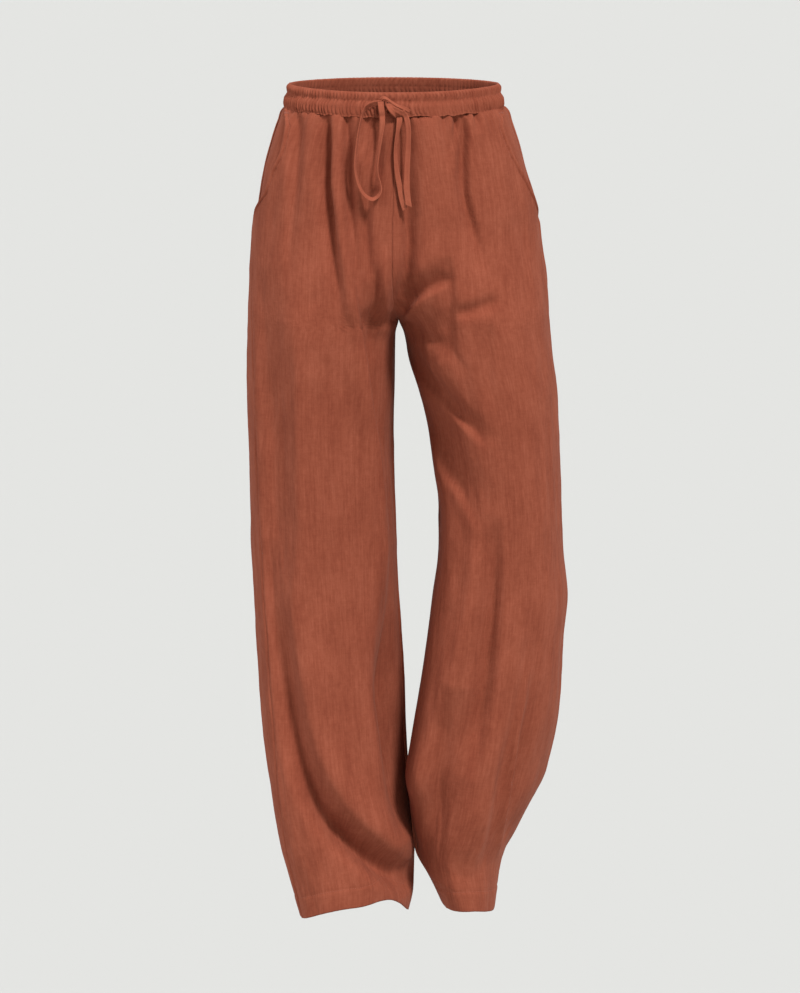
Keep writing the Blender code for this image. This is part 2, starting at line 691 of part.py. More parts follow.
def make_pocket(half):
    """The facing strip outside the slant mouth, and the bag behind it, as one folded layer."""
    turn, down = panel_grid(half, "front")
    turn = turn[:POCKET_ROWS, :POCKET_COLUMNS].copy()
    down = down[:POCKET_ROWS]
    turn[:, 0] += (turn[:, 1] - turn[:, 0]) * POCKET_SETBACK
    opened = eased((down - down[0]) / POCKET_TOP_EASE)
    opened = opened * eased((down[-1] - down) / POCKET_BOTTOM_EASE)
    near = WALL + POCKET_CLEARANCE
    tucked = near + POCKET_WALL + POCKET_LEAST_ROOM
    far = tucked + POCKET_ROOM * opened
    seam = seam_turn(half, down)
    under_back = FACING_UNDER_BACK / column(LEVELS[half], "back", down)
    in_mouth = 1 - eased((down - POCKET_END) / FACING_END_RUN)
    facing_end = seam - under_back * in_mouth + (1 - in_mouth) * FACING_END_TURN
    facing = [turn[:, :1] + (facing_end - turn[:, :1]) * (place + 1) / FACING_COLUMNS
              for place in range(FACING_COLUMNS)]
    back_turns = np.concatenate([turn[:, ::-1], *facing], axis=1)
    ease_out = np.ones(back_turns.shape)
    ease_out[:, POCKET_COLUMNS - 2] = POCKET_TURNBACK
    ease_out[:, POCKET_COLUMNS - 1:] = 0.0
    back_near = tucked + (far - tucked) * ease_out
    facing_near = tucked - (tucked - WALL - FACING_CLEARANCE) * in_mouth
    back_near[:, POCKET_COLUMNS:] = facing_near
    front_skin = cloth(half, turn, down, near + np.zeros(turn.shape))
    front_lining = cloth(half, turn, down, near + POCKET_WALL + np.zeros(turn.shape))
    back_lining = cloth(half, back_turns, down, back_near)
    back_skin = cloth(half, back_turns, down, back_near + POCKET_WALL)
    outer = np.concatenate([front_skin, back_skin], axis=1)
    inside = np.concatenate([front_lining, back_lining], axis=1)
    return make_wall(f"pocket_{half}", outer, inside, LINEN_DARK)


def front_level(x, z):
    """y of the smooth front at a place seen from the front, on the band or below it."""
    half = "left" if x >= 0 else "right"
    down = max(-z - RIM_FRONT_DIP, 0.0)
    if down < BAND_HEIGHT:
        out = np.interp(down, [row.drop for row in BAND_ROWS], [row.out for row in BAND_ROWS])
        share = min(abs(x) / (BAND_HALF_WIDTH + out), 1.0)
        return -(BAND_HALF_DEPTH + out) * (1 - share ** FULLNESS) ** (1 / FULLNESS)
    outer = abs(float(column(LEVELS[half], "outer", down)))
    front = float(column(LEVELS[half], "front", down))
    back = float(column(LEVELS[half], "back", down))
    share = min(abs(x) / outer, 1.0)
    deep = (back - front) / 2
    return (front + back) / 2 - deep * (1 - share ** FULLNESS) ** (1 / FULLNESS)


def make_tie(name, stations):
    """A flat tie carried along a smooth path, lifted off the front of the trousers."""
    places = np.arange(len(stations))
    rough = np.array([(tie.x, tie.down, tie.lift, tie.turn) for tie in stations], dtype=float)
    length = np.linalg.norm(np.diff(rough[:, :2], axis=0), axis=1).sum()
    fine = np.linspace(0, len(stations) - 1, round(length / TIE_STEP) + 1)
    x, down, lift, turn = [smooth_path(places, rough[:, k], fine) for k in range(4)]
    surface = np.array([front_level(a, -b) for a, b in zip(x, down)])
    path = np.stack([x, surface - lift, -down], axis=-1)
    forward = np.gradient(path, axis=0)
    forward = forward / np.linalg.norm(forward, axis=1, keepdims=True)
    toward_viewer = np.array([0.0, -1.0, 0.0])
    across = np.cross(forward, toward_viewer)
    across = across / np.linalg.norm(across, axis=1, keepdims=True)
    face = np.cross(across, forward)
    lean = np.radians(turn)[:, None]
    wide = across * np.cos(lean) + face * np.sin(lean)
    thick = face * np.cos(lean) - across * np.sin(lean)
    corners = []
    for along, off in ((1, 1), (-1, 1), (-1, -1), (1, -1)):
        corners.append(path + wide * along * TIE_WIDTH / 2 + thick * off * TIE_THICK / 2)
    rings = np.stack(corners, axis=1)
    count = len(path)
    faces = []
    for ring in range(count - 1):
        faces += ring_faces(ring * 4, ring * 4 + 4, 4)
    faces.append([0, 1, 2, 3])
    faces.append([(count - 1) * 4 + corner for corner in (3, 2, 1, 0)])
    return make_solid(name, rings.reshape(-1, 3), faces)


def smooth_path(places, values, fine):
    """Catmull-Rom curve through the points of a path."""
    tangent = np.gradient(values)
    row = np.clip(fine.astype(int), 0, len(places) - 2)
    share = fine - row
    start = values[row] * (1 + 2 * share) * (1 - share) ** 2
    end = values[row + 1] * share ** 2 * (3 - 2 * share)
    bend = share * (1 - share) * (tangent[row] * (1 - share) - tangent[row + 1] * share)
    return start + end + bend


def make_knot():
    """The knot in the tie: a rounded lump that slants down to the ends' side."""
    around, along = KNOT_SIDES, KNOT_RINGS
    x_centre, down_centre = KNOT_CENTRE
    long_half, deep_half, tall_half = KNOT_HALF_SIZE
    y_centre = front_level(x_centre, -down_centre) - KNOT_LIFT
    tilt = math.radians(KNOT_TILT)
    points = []
    for ring in range(1, along):
        polar = math.pi * ring / along
        for place in range(around):
            turn = 2 * math.pi * place / around
            length = -long_half * math.cos(polar)
            out = deep_half * math.sin(polar) * math.cos(turn)
            rise = tall_half * math.sin(polar) * math.sin(turn)
            points.append((x_centre + length * math.cos(tilt) + rise * math.sin(tilt),
                           y_centre - out,
                           -down_centre - length * math.sin(tilt) + rise * math.cos(tilt)))
    ends = [(x_centre + way * long_half * math.cos(tilt), y_centre,
             -down_centre - way * long_half * math.sin(tilt)) for way in (-1, 1)]
    first, last = len(points), len(points) + 1
    faces = []
    for ring in range(along - 2):
        faces += ring_faces(ring * around, (ring + 1) * around, around)
    for place in range(around):
        after = (place + 1) % around
        faces.append([first, place, after])
        start = (along - 2) * around
        faces.append([last, start + after, start + place])
    return make_solid("drawstring_knot", points + ends, faces)


def clear_scene():
    """Remove the objects that a new file starts with."""
    for thing in list(bpy.data.objects):
        bpy.data.objects.remove(thing, do_unlink=True)


def build():
    """Make every piece of the trousers."""
    clear_scene()
    for half in ("right", "left"):
        make_panel(half, "front")
        make_panel(half, "back")
        make_pocket(half)
    make_waistband()
    for name, stations in TIES.items():
        make_tie(name, stations)
    make_knot()


build()
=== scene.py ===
"""Linen drawstring trousers with wide legs, as worn with no wearer: the looks around the frame.

Sizes are millimetres, and MM turns them into metres when a mesh is made. The origin is in the
middle of the waist opening, +Z is up and the front faces -Y. Right and left are the wearer's.

A level is a distance down from the origin. At each level a half of the garment is an arc of a
rounded ellipse, and a turn is the place along it: 0 at the outer side, towards +90 degrees in
front and -90 degrees behind. Every cloth piece is a shell on a grid of turns and levels. A depth
is counted inwards from the smooth garment.
"""
import math
from collections import namedtuple

import bpy
import numpy as np
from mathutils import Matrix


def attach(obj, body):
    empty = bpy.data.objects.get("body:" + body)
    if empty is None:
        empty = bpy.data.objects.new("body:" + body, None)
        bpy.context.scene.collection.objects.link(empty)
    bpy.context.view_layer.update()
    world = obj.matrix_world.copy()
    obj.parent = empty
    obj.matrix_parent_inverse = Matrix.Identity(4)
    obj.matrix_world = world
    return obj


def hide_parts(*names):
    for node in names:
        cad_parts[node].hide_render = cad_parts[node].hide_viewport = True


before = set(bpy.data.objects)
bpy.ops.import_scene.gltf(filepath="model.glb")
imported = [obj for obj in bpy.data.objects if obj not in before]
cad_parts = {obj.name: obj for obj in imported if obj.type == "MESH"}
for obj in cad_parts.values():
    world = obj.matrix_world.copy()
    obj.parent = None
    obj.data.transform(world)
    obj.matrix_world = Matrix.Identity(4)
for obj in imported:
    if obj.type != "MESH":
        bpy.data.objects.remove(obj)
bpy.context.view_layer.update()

MM = 0.001

# Camera: the photograph's view, from the front and a little above. Places and distances are in
# metres, the pitch is in degrees, and the lens and its sensor are in millimetres.
CAMERA_TARGET = (0.0075, 0.0, -0.5125)
CAMERA_DISTANCE = 4.2
CAMERA_PITCH = 10.0
CAMERA_LENS = 121.81
CAMERA_SENSOR = 36.0
CAMERA_FAR = 500.0

# Studio: the floor in metres, the sky, and the lights' strength, with their turn, height and
# softness in degrees
FLOOR_LEVEL = -2.3
FLOOR_HALF_SIZE = 120.0
FLOOR_COLOUR = (0.500, 0.500, 0.481)
SKY_COLOUR = (0.93, 0.95, 1.0)
SKY_STRENGTH = 0.42
Light = namedtuple("Light", "name energy turn height softness")
LIGHTS = [
    Light("key_light", 3.2, 32, 50, 12),
    Light("fill_light", 1.25, -72, 34, 30),
    Light("back_light", 0.6, 190, 58, 40),
]

# Cloth's thickness, and its seams: a puckered groove along each, calm cloth beside the centre
# seams, and how far from them the panels are moved straight forwards or back. Over FORK_RUN below
# the fork that passes to the front panels' inseams alone, where INSEAM_HOLD of it is left.
CLOTH = 0.8
SEAM_GROOVE = 1.0
SEAM_GROOVE_WIDTH = 1.9
SEAM_START = 12.0
PUCKER = 0.35
PUCKER_LENGTH = 7.0
CENTRE_GROOVE = 0.4
CENTRE_CALM = 18.0
CENTRE_REACH = 24.0
INSEAM_HOLD = 0.85
INSEAM_REACH = 60.0
FORK_RUN = 60.0

# The back panels' lap beneath the front ones at the side seams: how far it reaches, how deep it
# lies, and how far down its slope the seam itself is
SEAM_LAP = 3.0
SEAM_LAP_DEPTH = 2.2
LAP_AT_SEAM = 0.25

# Hems: doubled cloth up to a row of stitches, which draws it in unevenly. To both sides of that
# level it begins to stand out over HEM_BLEND, and to be thicker over HEM_EDGE.
HEM_CLOTH = 2.2
HEM_DEPTH = 27.0
HEM_STANDS_OUT = 0.5
HEM_BLEND = 1.5
HEM_EDGE = 1.0
HEM_STITCH_DEPTH = 0.6
HEM_STITCH_WIDTH = 1.6
HEM_UNEVEN = 0.5
HEM_UNEVEN_LENGTH = 4.0

# Rumples: the width, length and depth of the three sizes of unevenness, and how the middle one
# wanders with the broad one. The top of a panel is calmer. The noise repeats after NOISE_CELLS,
# and a turn times PANEL_RADIUS is its place across a panel.
Rumple = namedtuple("Rumple", "wide long depth")
RUMPLES = [Rumple(34, 90, 1.3), Rumple(13, 38, 0.8), Rumple(6, 15, 0.28)]
RUMPLE_WANDER = 0.3
RUMPLE_CALM = 0.5
RUMPLE_TOP = 40.0
RUMPLE_RUN = 60.0
NOISE_CELLS = 64
PANEL_RADIUS = 115.0
PANEL_SEEDS = {
    ("right", "front"): 11, ("right", "back"): 18,
    ("left", "front"): 23, ("left", "back"): 30,
}

# Waistband: its ellipse at the rim, its height, its thickness, its radius and how much longer its
# cloth is before it is gathered, the swell of its rim, the level of the seam between its
# channels, and how far the rim dips in front and rises behind
BAND_HALF_WIDTH = 129.0
BAND_HALF_DEPTH = 95.0
BAND_HEIGHT = 27.5
BAND_CLOTH = 2.6
BAND_RADIUS = 118.0
BAND_LENGTH_TAKEN_UP = 1.5
BAND_SWELL = 0.9
BAND_SWELL_GATHERED = 0.35
CHANNEL_SEAM = 9.8
RIM_FRONT_DIP = 6.0
RIM_BACK_RISE = 2.5

# The band's rows: the ends of their stretches, as drops from the rim, and how many rows each has.
# Those over the rim lie at shares of the way from its inner to its outer face.
OUTSIDE_ENDS = [28.4, 24.6, CHANNEL_SEAM + 1.6, CHANNEL_SEAM - 1.6, 0]
OUTSIDE_ROWS = (6, 9, 5, 8)
RIM_SHARES = [0.75, 0.5, 0.25]
INSIDE_ENDS = [0, CHANNEL_SEAM, BAND_HEIGHT]
INSIDE_ROWS = (9, 11)
BAND_COLUMNS = 1290

# Its unevenness: how strong, how many patches to a radian, their height, and their seed. Its
# lower edge wanders up and down in broad and in small waves.
BAND_UNEVEN = 0.25
BAND_PATCHES = 9
BAND_PATCH_HEIGHT = 9
BAND_SEED = 31
BAND_EDGE_TOP = 23.0
BAND_EDGE_RUN = 5.0
Wave = namedtuple("Wave", "count strong seed")
BROAD_WAVES = Wave(20, 1.0, 32)
SMALL_WAVES = Wave(55, 0.5, 33)

# Its lining: how much its gathers stand in, at its seams and between them, and how it spreads
LINING_GATHERS = 1.5
LINING_AT_SEAM = 0.3
LINING_SPREAD = 2.6
LINING_SPREAD_TOP = 8.0
LINING_SPREAD_RUN = 19.0

# Beside the knot the lower channel is calmer: how much, how far from the front's middle in
# radians, and how wide
KNOT_CALM = 0.62
KNOT_CALM_TURN = 0.40
KNOT_CALM_WIDTH = 0.30

# Gathers of the band's faces: how many, how far their lines wander down the band in radians, how
# fast, from what phase, and their seed
Gathers = namedtuple("Gathers", "count wander pace phase seed")
BAND_GATHERS = {
    "upper": Gathers(172, 0.012, 3, 0, 3),
    "lower": Gathers(164, 0.014, 5, 1, 4),
    "inside": Gathers(142, 0.016, 6, 0, 6),
}

# Along the band's outer face: drop from the rim, how far the pinched cloth stands out, and how
# far its gathers swell in the upper and in the lower channel
BandRow = namedtuple("BandRow", "down out upper lower")
BAND_ROWS = [
    BandRow(0.0, -0.2, 1.0, 0.0),
    BandRow(1.6, 0.4, 2.2, 0.0),
    BandRow(4.8, 0.7, 2.9, 0.0),
    BandRow(8.2, 0.7, 2.2, 0.0),
    BandRow(CHANNEL_SEAM, 1.0, 0.8, 0.8),
    BandRow(11.6, 1.4, 0.0, 2.6),
    BandRow(16.0, 3.4, 0.0, 3.7),
    BandRow(21.5, 4.2, 0.0, 3.7),
    BandRow(25.4, 4.7, 0.0, 2.3),
    BandRow(26.6, 4.9, 0.0, 1.2),
    BandRow(28.4, 5.0, 0.0, 2.0),
]

# Its bulge where the drawstring lies on it: drop from the rim, and how far it stands out
BULGE_DROPS = [0, 4.8, 9.8, 14.6, 21, 27.5]
BULGE_OUT = [0, 2.4, 2.0, 5.2, 6.8, 6.2]

# Gathers in general: the least and the most that one is wide, strong and long, against the
# others, and how rounded the valleys between them are
GATHER_WIDTHS = (0.55, 1.45)
GATHER_STRENGTHS = (0.3, 1.0)
GATHER_LENGTHS = (0.5, 1.6)
GATHER_ROUNDING = 0.006

# Under the waistband: the panels' own gathers, small pits between them, and the edge that goes
# under the band
PANEL_GATHERS = 74
PANEL_GATHER_SEED = 5
GATHER_SWELL = 4.6
GATHER_LEVEL = 0.6
GATHER_REACH = 15.0
PIT_DEPTH = 5.0
PIT_REACH = 4.0
PIT_WIDTH = 7.0
PIT_SEED = 9
PIT_LEVEL = 0.2
BAND_UNDERLAP = 2.0
UNDER_BAND_DEPTH = 2.2
UNDER_BAND_BLEND = 0.6

# A panel's grid: its columns, the rows of its stretches from its top to the hem, where they end,
# and how its columns crowd at both edges
PANEL_COLUMNS = 124
PANEL_ROWS = (32, 44, 208, 21)
GATHERED_END = 62.0
HIPS_END = 170.0
HEM_ROWS_HEIGHT = 40.0
EDGE_CROWDING = 0.35

# Section: how full the ellipse is, the steps to the places beside one, the least level part of a
# normal, where and how the halves part, and where the rim's dip ends and the hems' slant begins
FULLNESS = 2.2
BESIDE_TURN = 0.004
BESIDE_DOWN = 0.5
LEAST_LEVEL = 0.4
SEAT_TOP = 166.0
CROTCH = 292.0
SEAT_EASE = 1.5
FORK_ROUNDING = 0.7
DIP_END = 130.0
HEM_SLANT_START = 880.0

# Outlines of both halves: at each level the outer side's x, the front's and the back's y, how far
# the outer side leans forwards and the inner side back, and the turn of the side seam
Level = namedtuple("Level", "down outer front back lean seam")
LEVELS = {
    "right": [
        Level(27, -136, -102, 102, 0, 0),
        Level(34, -141, -105, 105, 0, 0),
        Level(49, -148, -108, 109, 0, 0),
        Level(71, -155, -110, 115, 0, 0),
        Level(100, -163, -113, 124, 0, 0),
        Level(148, -171, -116, 136, 0, 0),
        Level(189, -176, -117, 141, 0, 4),
        Level(248, -180, -117, 139, 0, 15),
        Level(300, -182, -115, 133, 0, 24),
        Level(378, -182, -110, 122, 0, 29),
        Level(479, -180, -104, 112, 4, 31),
        Level(581, -177, -99, 104, 10, 32),
        Level(683, -172, -96, 99, 16, 34),
        Level(787, -166, -95, 96, 24, 35),
        Level(865, -157, -95, 94, 32, 32),
        Level(943, -144, -97, 90, 34, 27),
        Level(983, -134, -99, 87, 33, 24),
        Level(1050, -116, -101, 82, 30, 20),
    ],
    "left": [
        Level(27, 136, -102, 102, 0, 0),
        Level(34, 142, -105, 105, 0, 0),
        Level(49, 148, -108, 109, 0, 0),
        Level(71, 156, -110, 115, 0, 0),
        Level(100, 164, -113, 124, 0, 0),
        Level(148, 177, -116, 136, 0, 0),
        Level(189, 181, -117, 141, 0, 2),
        Level(248, 191, -117, 139, 0, 6),
        Level(300, 194, -115, 133, 0, 9),
        Level(378, 203, -110, 122, 0, 11),
        Level(479, 207, -103, 113, -4, 12),
        Level(581, 212, -97, 107, -10, 12),
        Level(640, 218, -94, 105, -13, 12),
        Level(700, 215, -91, 104, -17, 12),
        Level(787, 211, -87, 106, -24, 12),
        Level(865, 197, -81, 112, -34, 12),
        Level(943, 160, -73, 125, -32, 12),
        Level(983, 139, -67, 135, -22, 12),
        Level(1050, 128, -60, 148, -8, 12),
    ],
}

# x of the body's middle, and of each leg's inner side below the crotch
Side = namedtuple("Side", "down x")
MIDDLE = [Side(27, 0), Side(100, 0), Side(189, -2), Side(248, -1), Side(292, 6)]
INNER = {
    "right": [
        Side(292, 6), Side(308, 2), Side(378, 1), Side(428, -1), Side(530, 2), Side(632, 6),
        Side(735, 13), Side(826, 16), Side(904, 21), Side(970, 26), Side(1010, 25),
        Side(1050, 16),
    ],
    "left": [
        Side(292, 6), Side(306, 12), Side(340, 19), Side(378, 31), Side(428, 43), Side(479, 51),
        Side(530, 57), Side(581, 56), Side(632, 49), Side(735, 35), Side(826, 20),
        Side(866, 14), Side(904, 20), Side(945, 23), Side(975, 27), Side(1010, 43),
        Side(1050, 62),
    ],
}

# Hems: their level, and how much higher they lie in front, behind, outside and inside, and at the
# top of an arch between front and inside
Hem = namedtuple("Hem", "down front back outer inner arch")
HEMS = {
    "right": Hem(1040, 24, -8, -1, -12, 12),
    "left": Hem(1044, 11, 4, -9, 4, 0),
}

# Pocket mouths: the turn of their edge down both sides, in degrees, and where they end. The
# pockets go on down to their bottom and reach in behind the front panels, with some room.
Mouth = namedtuple("Mouth", "down right left")
MOUTH = [
    Mouth(27, 15, 17),
    Mouth(47, 23, 23),
    Mouth(80, 24, 21),
    Mouth(105, 21, 17),
    Mouth(130, 19, 13),
    Mouth(150, 9, 8),
    Mouth(166, 0, 0),
]
POCKET_END = 166.0
POCKET_BOTTOM = 246.0
POCKET_REACH = 36.0
POCKET_ROOM = 9.0
POCKET_SEED = 41

# The mouth sags forwards, by so many degrees, most above its middle
MOUTH_SAG = {"right": 7.0, "left": 6.0}
MOUTH_SAG_HIGH = 0.6
MOUTH_SAG_ROUND = 1.1

# Its edge: stitched, turned under, and lifted off the facing, down to near its end
MOUTH_STITCH = 6.0
MOUTH_STITCH_DEPTH = 1.3
MOUTH_STITCH_WIDTH = 1.3
MOUTH_DRAG = 0.6
MOUTH_DRAG_LENGTH = 5.0
MOUTH_DRAG_WIDTH = 9.0
MOUTH_EDGE_DEPTH = 0.8
MOUTH_EDGE_WIDTH = 1.6
MOUTH_LIFT = 2.6
MOUTH_LIFT_REACH = 6.0
MOUTH_FADE = 16.0

# The cloth beside it sinks in: how deep, how far from the seam, and where that starts and ends
MOUTH_DIP = {"right": 3.6, "left": 1.6}
MOUTH_DIP_REACH = 22.0
MOUTH_DIP_TOP = 2.0
MOUTH_DIP_START = 16.0
MOUTH_DIP_BOTTOM = 3.0
MOUTH_DIP_END = 9.0

# The facing strip: its grid, its depth, shallower away from the mouth and deeper at the seam
FACING_ROWS = 90
FACING_COLUMNS = 44
FACING_PAST_SEAM = 3.0
FACING_UNDER_BAND = 1.0
FACING_DEPTH = 4.0
FACING_RISE = 1.5
FACING_RISE_RUN = 12.0
FACING_AT_SEAM = 0.6
FACING_SHOWN_PAST_END = 4.0
FACING_HIDDEN_DEPTH = 2.6
FACING_UNDER_FRONT = 2.2
FACING_UNDER_RUN = 10.0
FACING_DIP_RUN = 4.0
FACING_UNEVEN = 0.25
FACING_PATCHES = 20
FACING_PATCH_HEIGHT = 14

# The bag: its columns, its depth, the share of its width that the mouth's edge keeps free, and
# how sharply it turns in to meet the facing
BAG_COLUMNS = 40
BAG_START = 0.06
BAG_DEPTH = 1.9
BAG_TURN_IN = 3.0
BAG_SHARPNESS = 8
BAG_CLOTH = 0.6
BAG_OPENING_TOP = 40.0
BAG_OPENING_RUN = 40.0

# Stitches: the rows' pitch, the stitches' length and radius, the grid of one, how high it arches
# and how it tapers. The hems' rows keep SEAM_CLEAR radians away from the seams. A bar tack goes
# to and fro across the top of each pocket mouth.
Stitch = namedtuple("Stitch", "pitch length radius")
HEM_STITCH = Stitch(3.2, 2.5, 0.22)
MOUTH_STITCHES = Stitch(3.0, 2.3, 0.22)
TACK_STITCH = Stitch(2.0, 2.0, 0.3)
STITCH_SIDES = 6
STITCH_TAPER = [0.35, 0.9, 1.0, 0.9, 0.35]
STITCH_LEAST = 0.25
STITCH_ARCH = 0.45
STITCH_BESIDE_TURN = 0.01
STITCH_BESIDE_DOWN = 0.7
SEAM_CLEAR = 0.03
ROW_POINTS = 260
MOUTH_ROW_POINTS = 200
MOUTH_ROW_TOP = 33.0
MOUTH_ROW_CLEAR = 14.0
TACK_TURNS = 22
TACK_LEVEL = 31.5
TACK_HALF_HEIGHT = 1.1
TACK_START = 0.2
TACK_LENGTH = 9.0

# Picture: the point that the camera looks at, the millimetres to a point there, the row in which
# the middle of the waist opening shows, and the plane in front of it where the folds lie
PICTURE_MIDDLE = (400.0, 496.5)
PICTURE_SCALE = 1.25
PICTURE_WAIST_ROW = 84
FOLD_PLANE = -105.0

# Folds: the half of the garment or both, and the fold's width on its outer and its inner side.
# A ridge has a negative depth. The front folds were placed on the picture: their lines
# give the column, the row and the depth of the trough. A back fold's give level, x and depth.
Fold = namedtuple("Fold", "half outer inner line")
FRONT_FOLDS = [
    # Pleats that hang from the waistband on the right half
    Fold("right", 4, 6, [(294, 116, 2), (294, 124, 7), (294, 145, 9), (293, 165, 9), (291, 200, 6),
        (289, 245, 3), (287, 290, 0)]),
    Fold("right", 7, 3.2, [(325, 115, 3), (325, 123, 10), (326, 135, 15), (326, 153, 17),
        (325, 178, 20), (329.6, 209, 18), (334, 244, 14), (338.5, 275, 9), (341.5, 312, 5),
        (343, 345, 0)]),
    Fold("right", 2.8, 8, [(345.6, 115, 3), (345.6, 124, 10), (346, 147, 14), (344.7, 169, 15),
        (346, 190.6, 13), (347.8, 215.6, 9), (350, 244, 5), (352, 272, 0)]),
    Fold("right", 5, 5, [(366.6, 115, 2), (366.6, 126, 7), (365, 141, 6), (364, 165, 0)]),
    Fold("right", 6, 4, [(377.5, 116, 3), (377.5, 128, 10), (377.5, 156, 10), (373, 184, 10),
        (368, 203, 10), (366.6, 222, 10), (367, 244, 7), (369, 268, 2), (370, 280, 0)]),
    # Ridge and hollow down the inner side of the right thigh, and two dents beside them
    Fold("right", 13, 3.5, [(334, 140, 0), (339, 194, -4), (344.7, 225, -6), (349, 262, -7),
        (355.6, 312, -8), (360, 350, -10), (365, 387, -11), (373, 440, -10), (381, 500, -8),
        (385, 540, -6), (385, 625, -6), (385, 680, -7), (384, 730, -7), (385, 780, -6),
        (390, 815, -4), (398, 840, 0)]),
    Fold("both", 15, 4, [(349, 205, 0), (354, 240, 5), (361, 290, 6), (368, 340, 8),
        (374, 390, 11), (382, 440, 12), (389, 490, 11), (394, 540, 8), (396, 590, 4),
        (397, 630, 0)]),
    Fold("right", 4, 3, [(374, 262, 0), (376, 280, 5), (376.6, 297, 6), (376, 319, 6),
        (375, 341, 4), (375, 370, 0)]),
    Fold("both", 4, 4, [(385, 245, 0), (385, 272, -5), (386, 300, -6), (387, 325, -4),
        (388, 350, 0)]),
    # Hollow at the inner side of the right knee, and the long sweep to its hem
    Fold("right", 12, 16, [(388, 560, 0), (389, 610, 10), (389.5, 660, 24), (391, 700, 33),
        (394, 740, 31), (398, 780, 24), (402, 815, 17), (405, 838, 9), (407, 856, 0)]),
    Fold("right", 8, 16, [(260, 270, 0), (263, 320, 7), (265, 370, 10), (268, 420, 12),
        (271, 470, 12), (272, 520, 10), (270, 570, 6), (268, 610, 0)]),
    Fold("right", 9, 12, [(264, 545, 0), (268, 590, 6), (276, 640, 11), (284, 690, 15),
        (292, 735, 19), (302, 772, 23), (316, 804, 27), (337, 833, 30), (360, 854, 30),
        (381, 872, 28), (396, 886, 24), (410, 902, 16)]),
    Fold("right", 8, 18, [(298, 300, 0), (299, 350, -4), (300, 420, -6), (300, 490, -7),
        (302, 545, -6), (297, 600, -7), (301, 660, -9), (311, 715, -10), (323, 760, -12),
        (343, 800, -13), (368, 832, -13), (392, 856, -11), (408, 874, -7)]),
    # Hollow beside the centre seam, and the arch and drapes at the fork
    Fold("both", 8, 6, [(403, 116, 3), (404, 128, 9), (405, 150, 11), (406, 180, 11),
        (408, 215, 14), (409, 240, 16), (407, 265, 16), (402, 288, 14), (398, 304, 5)]),
    Fold("both", 3.4, 12, [(399, 318, 5), (404, 308, 15), (411, 298, 18), (421, 291, 17),
        (432, 286, 15), (442, 281, 10), (450, 274, 0)]),
    Fold("left", 14, 14, [(424, 285, 0), (430, 305, 4), (434, 325, 6), (438, 345, 5),
        (442, 365, 0)]),
    Fold("left", 4, 10, [(446, 256, 0), (449, 268, 6), (450.5, 285, 9), (450, 305, 8),
        (449, 328, 7), (451, 348, 5), (458, 362, 3), (468, 374, 0)]),
    Fold("left", 6, 6, [(410, 326, 3), (416, 334, 6), (427, 341, 5), (438, 345, 3),
        (448, 349, 0)]),
    # Drag lines from the fork across the left thigh
    Fold("left", 10, 4, [(404, 352, 3), (411, 366, 8), (420, 380, 11), (432, 392, 12),
        (444, 404, 12), (456, 415, 11), (468, 426, 8), (480, 437, 4), (490, 448, 0)]),
    Fold("left", 19, 6, [(424, 403, 2), (430, 420, 8), (436, 438, 13), (442, 457, 15),
        (450, 475, 14), (460, 492, 11), (471, 510, 6), (482, 532, 0)]),
    Fold("left", 13, 16, [(444, 470, 1), (448, 500, 4), (453, 530, 5), (458, 560, 4),
        (462, 600, 2), (464, 640, 0)]),
    # Hollows down the left calf, and the ridges between them
    Fold("left", 6, 14, [(494, 515, 0), (495, 548, 9), (495, 590, 14), (492, 640, 17),
        (487, 690, 19), (481, 728, 17), (475, 760, 9), (470, 785, 0)]),
    Fold("left", 30, 14, [(456, 690, 0), (450, 720, 11), (444, 750, 21), (438, 785, 29),
        (433, 818, 32), (428, 846, 29), (422, 872, 20), (418, 892, 8)]),
    Fold("left", 8, 10, [(412, 372, 0), (424, 420, -6), (436, 470, -9), (446, 520, -9),
        (450, 570, -6), (448, 620, 0)]),
    Fold("left", 9, 9, [(474, 540, 0), (473, 580, -6), (462, 650, -7), (450, 695, -5),
        (440, 735, 0)]),
    Fold("left", 9, 30, [(517, 600, 0), (514, 650, -4), (506, 700, -6), (495, 740, -11),
        (486, 780, -14), (480, 820, -14), (473, 855, -10), (466, 888, 0)]),
    Fold("left", 4, 3.2, [(527, 665, 0), (524.5, 700, -4), (517, 740, -7), (511.7, 780, -8),
        (506.7, 813, -7), (501.7, 853, -4), (498, 885, 0)]),
    Fold("left", 9, 4.5, [(534, 680, 0), (528, 725, 5), (522, 765, 9), (516, 805, 9),
        (510, 845, 6), (505, 880, 0)]),
    # Pleats that hang from the waistband on the left half, and small drags at the hip
    Fold("left", 2.8, 8, [(466.6, 114, 3), (466.6, 122, 9), (467.5, 137.5, 13), (466.6, 168.8, 14),
        (467.5, 193.8, 13), (471, 215.6, 10), (477.5, 240.6, 6), (487, 272, 0)]),
    Fold("left", 3, 4, [(456, 114, 2), (458.8, 124, 8), (457.5, 136, 6), (456, 152, 0)]),
    Fold("left", 5, 5, [(446, 114, 2), (446, 124, 6), (448, 145, 6), (449, 175, 0)]),
    Fold("left", 3, 3, [(478, 112, 3), (478, 120, 6), (479, 136, 0)]),
    Fold("left", 5, 6, [(455, 313, 2), (466, 311, 7), (479, 308, 8), (491, 304, 6),
        (500, 297, 0)]),
    Fold("left", 4, 5, [(489, 322, 0), (490, 345, 4), (490, 380, 4), (491, 412, 0)]),
]
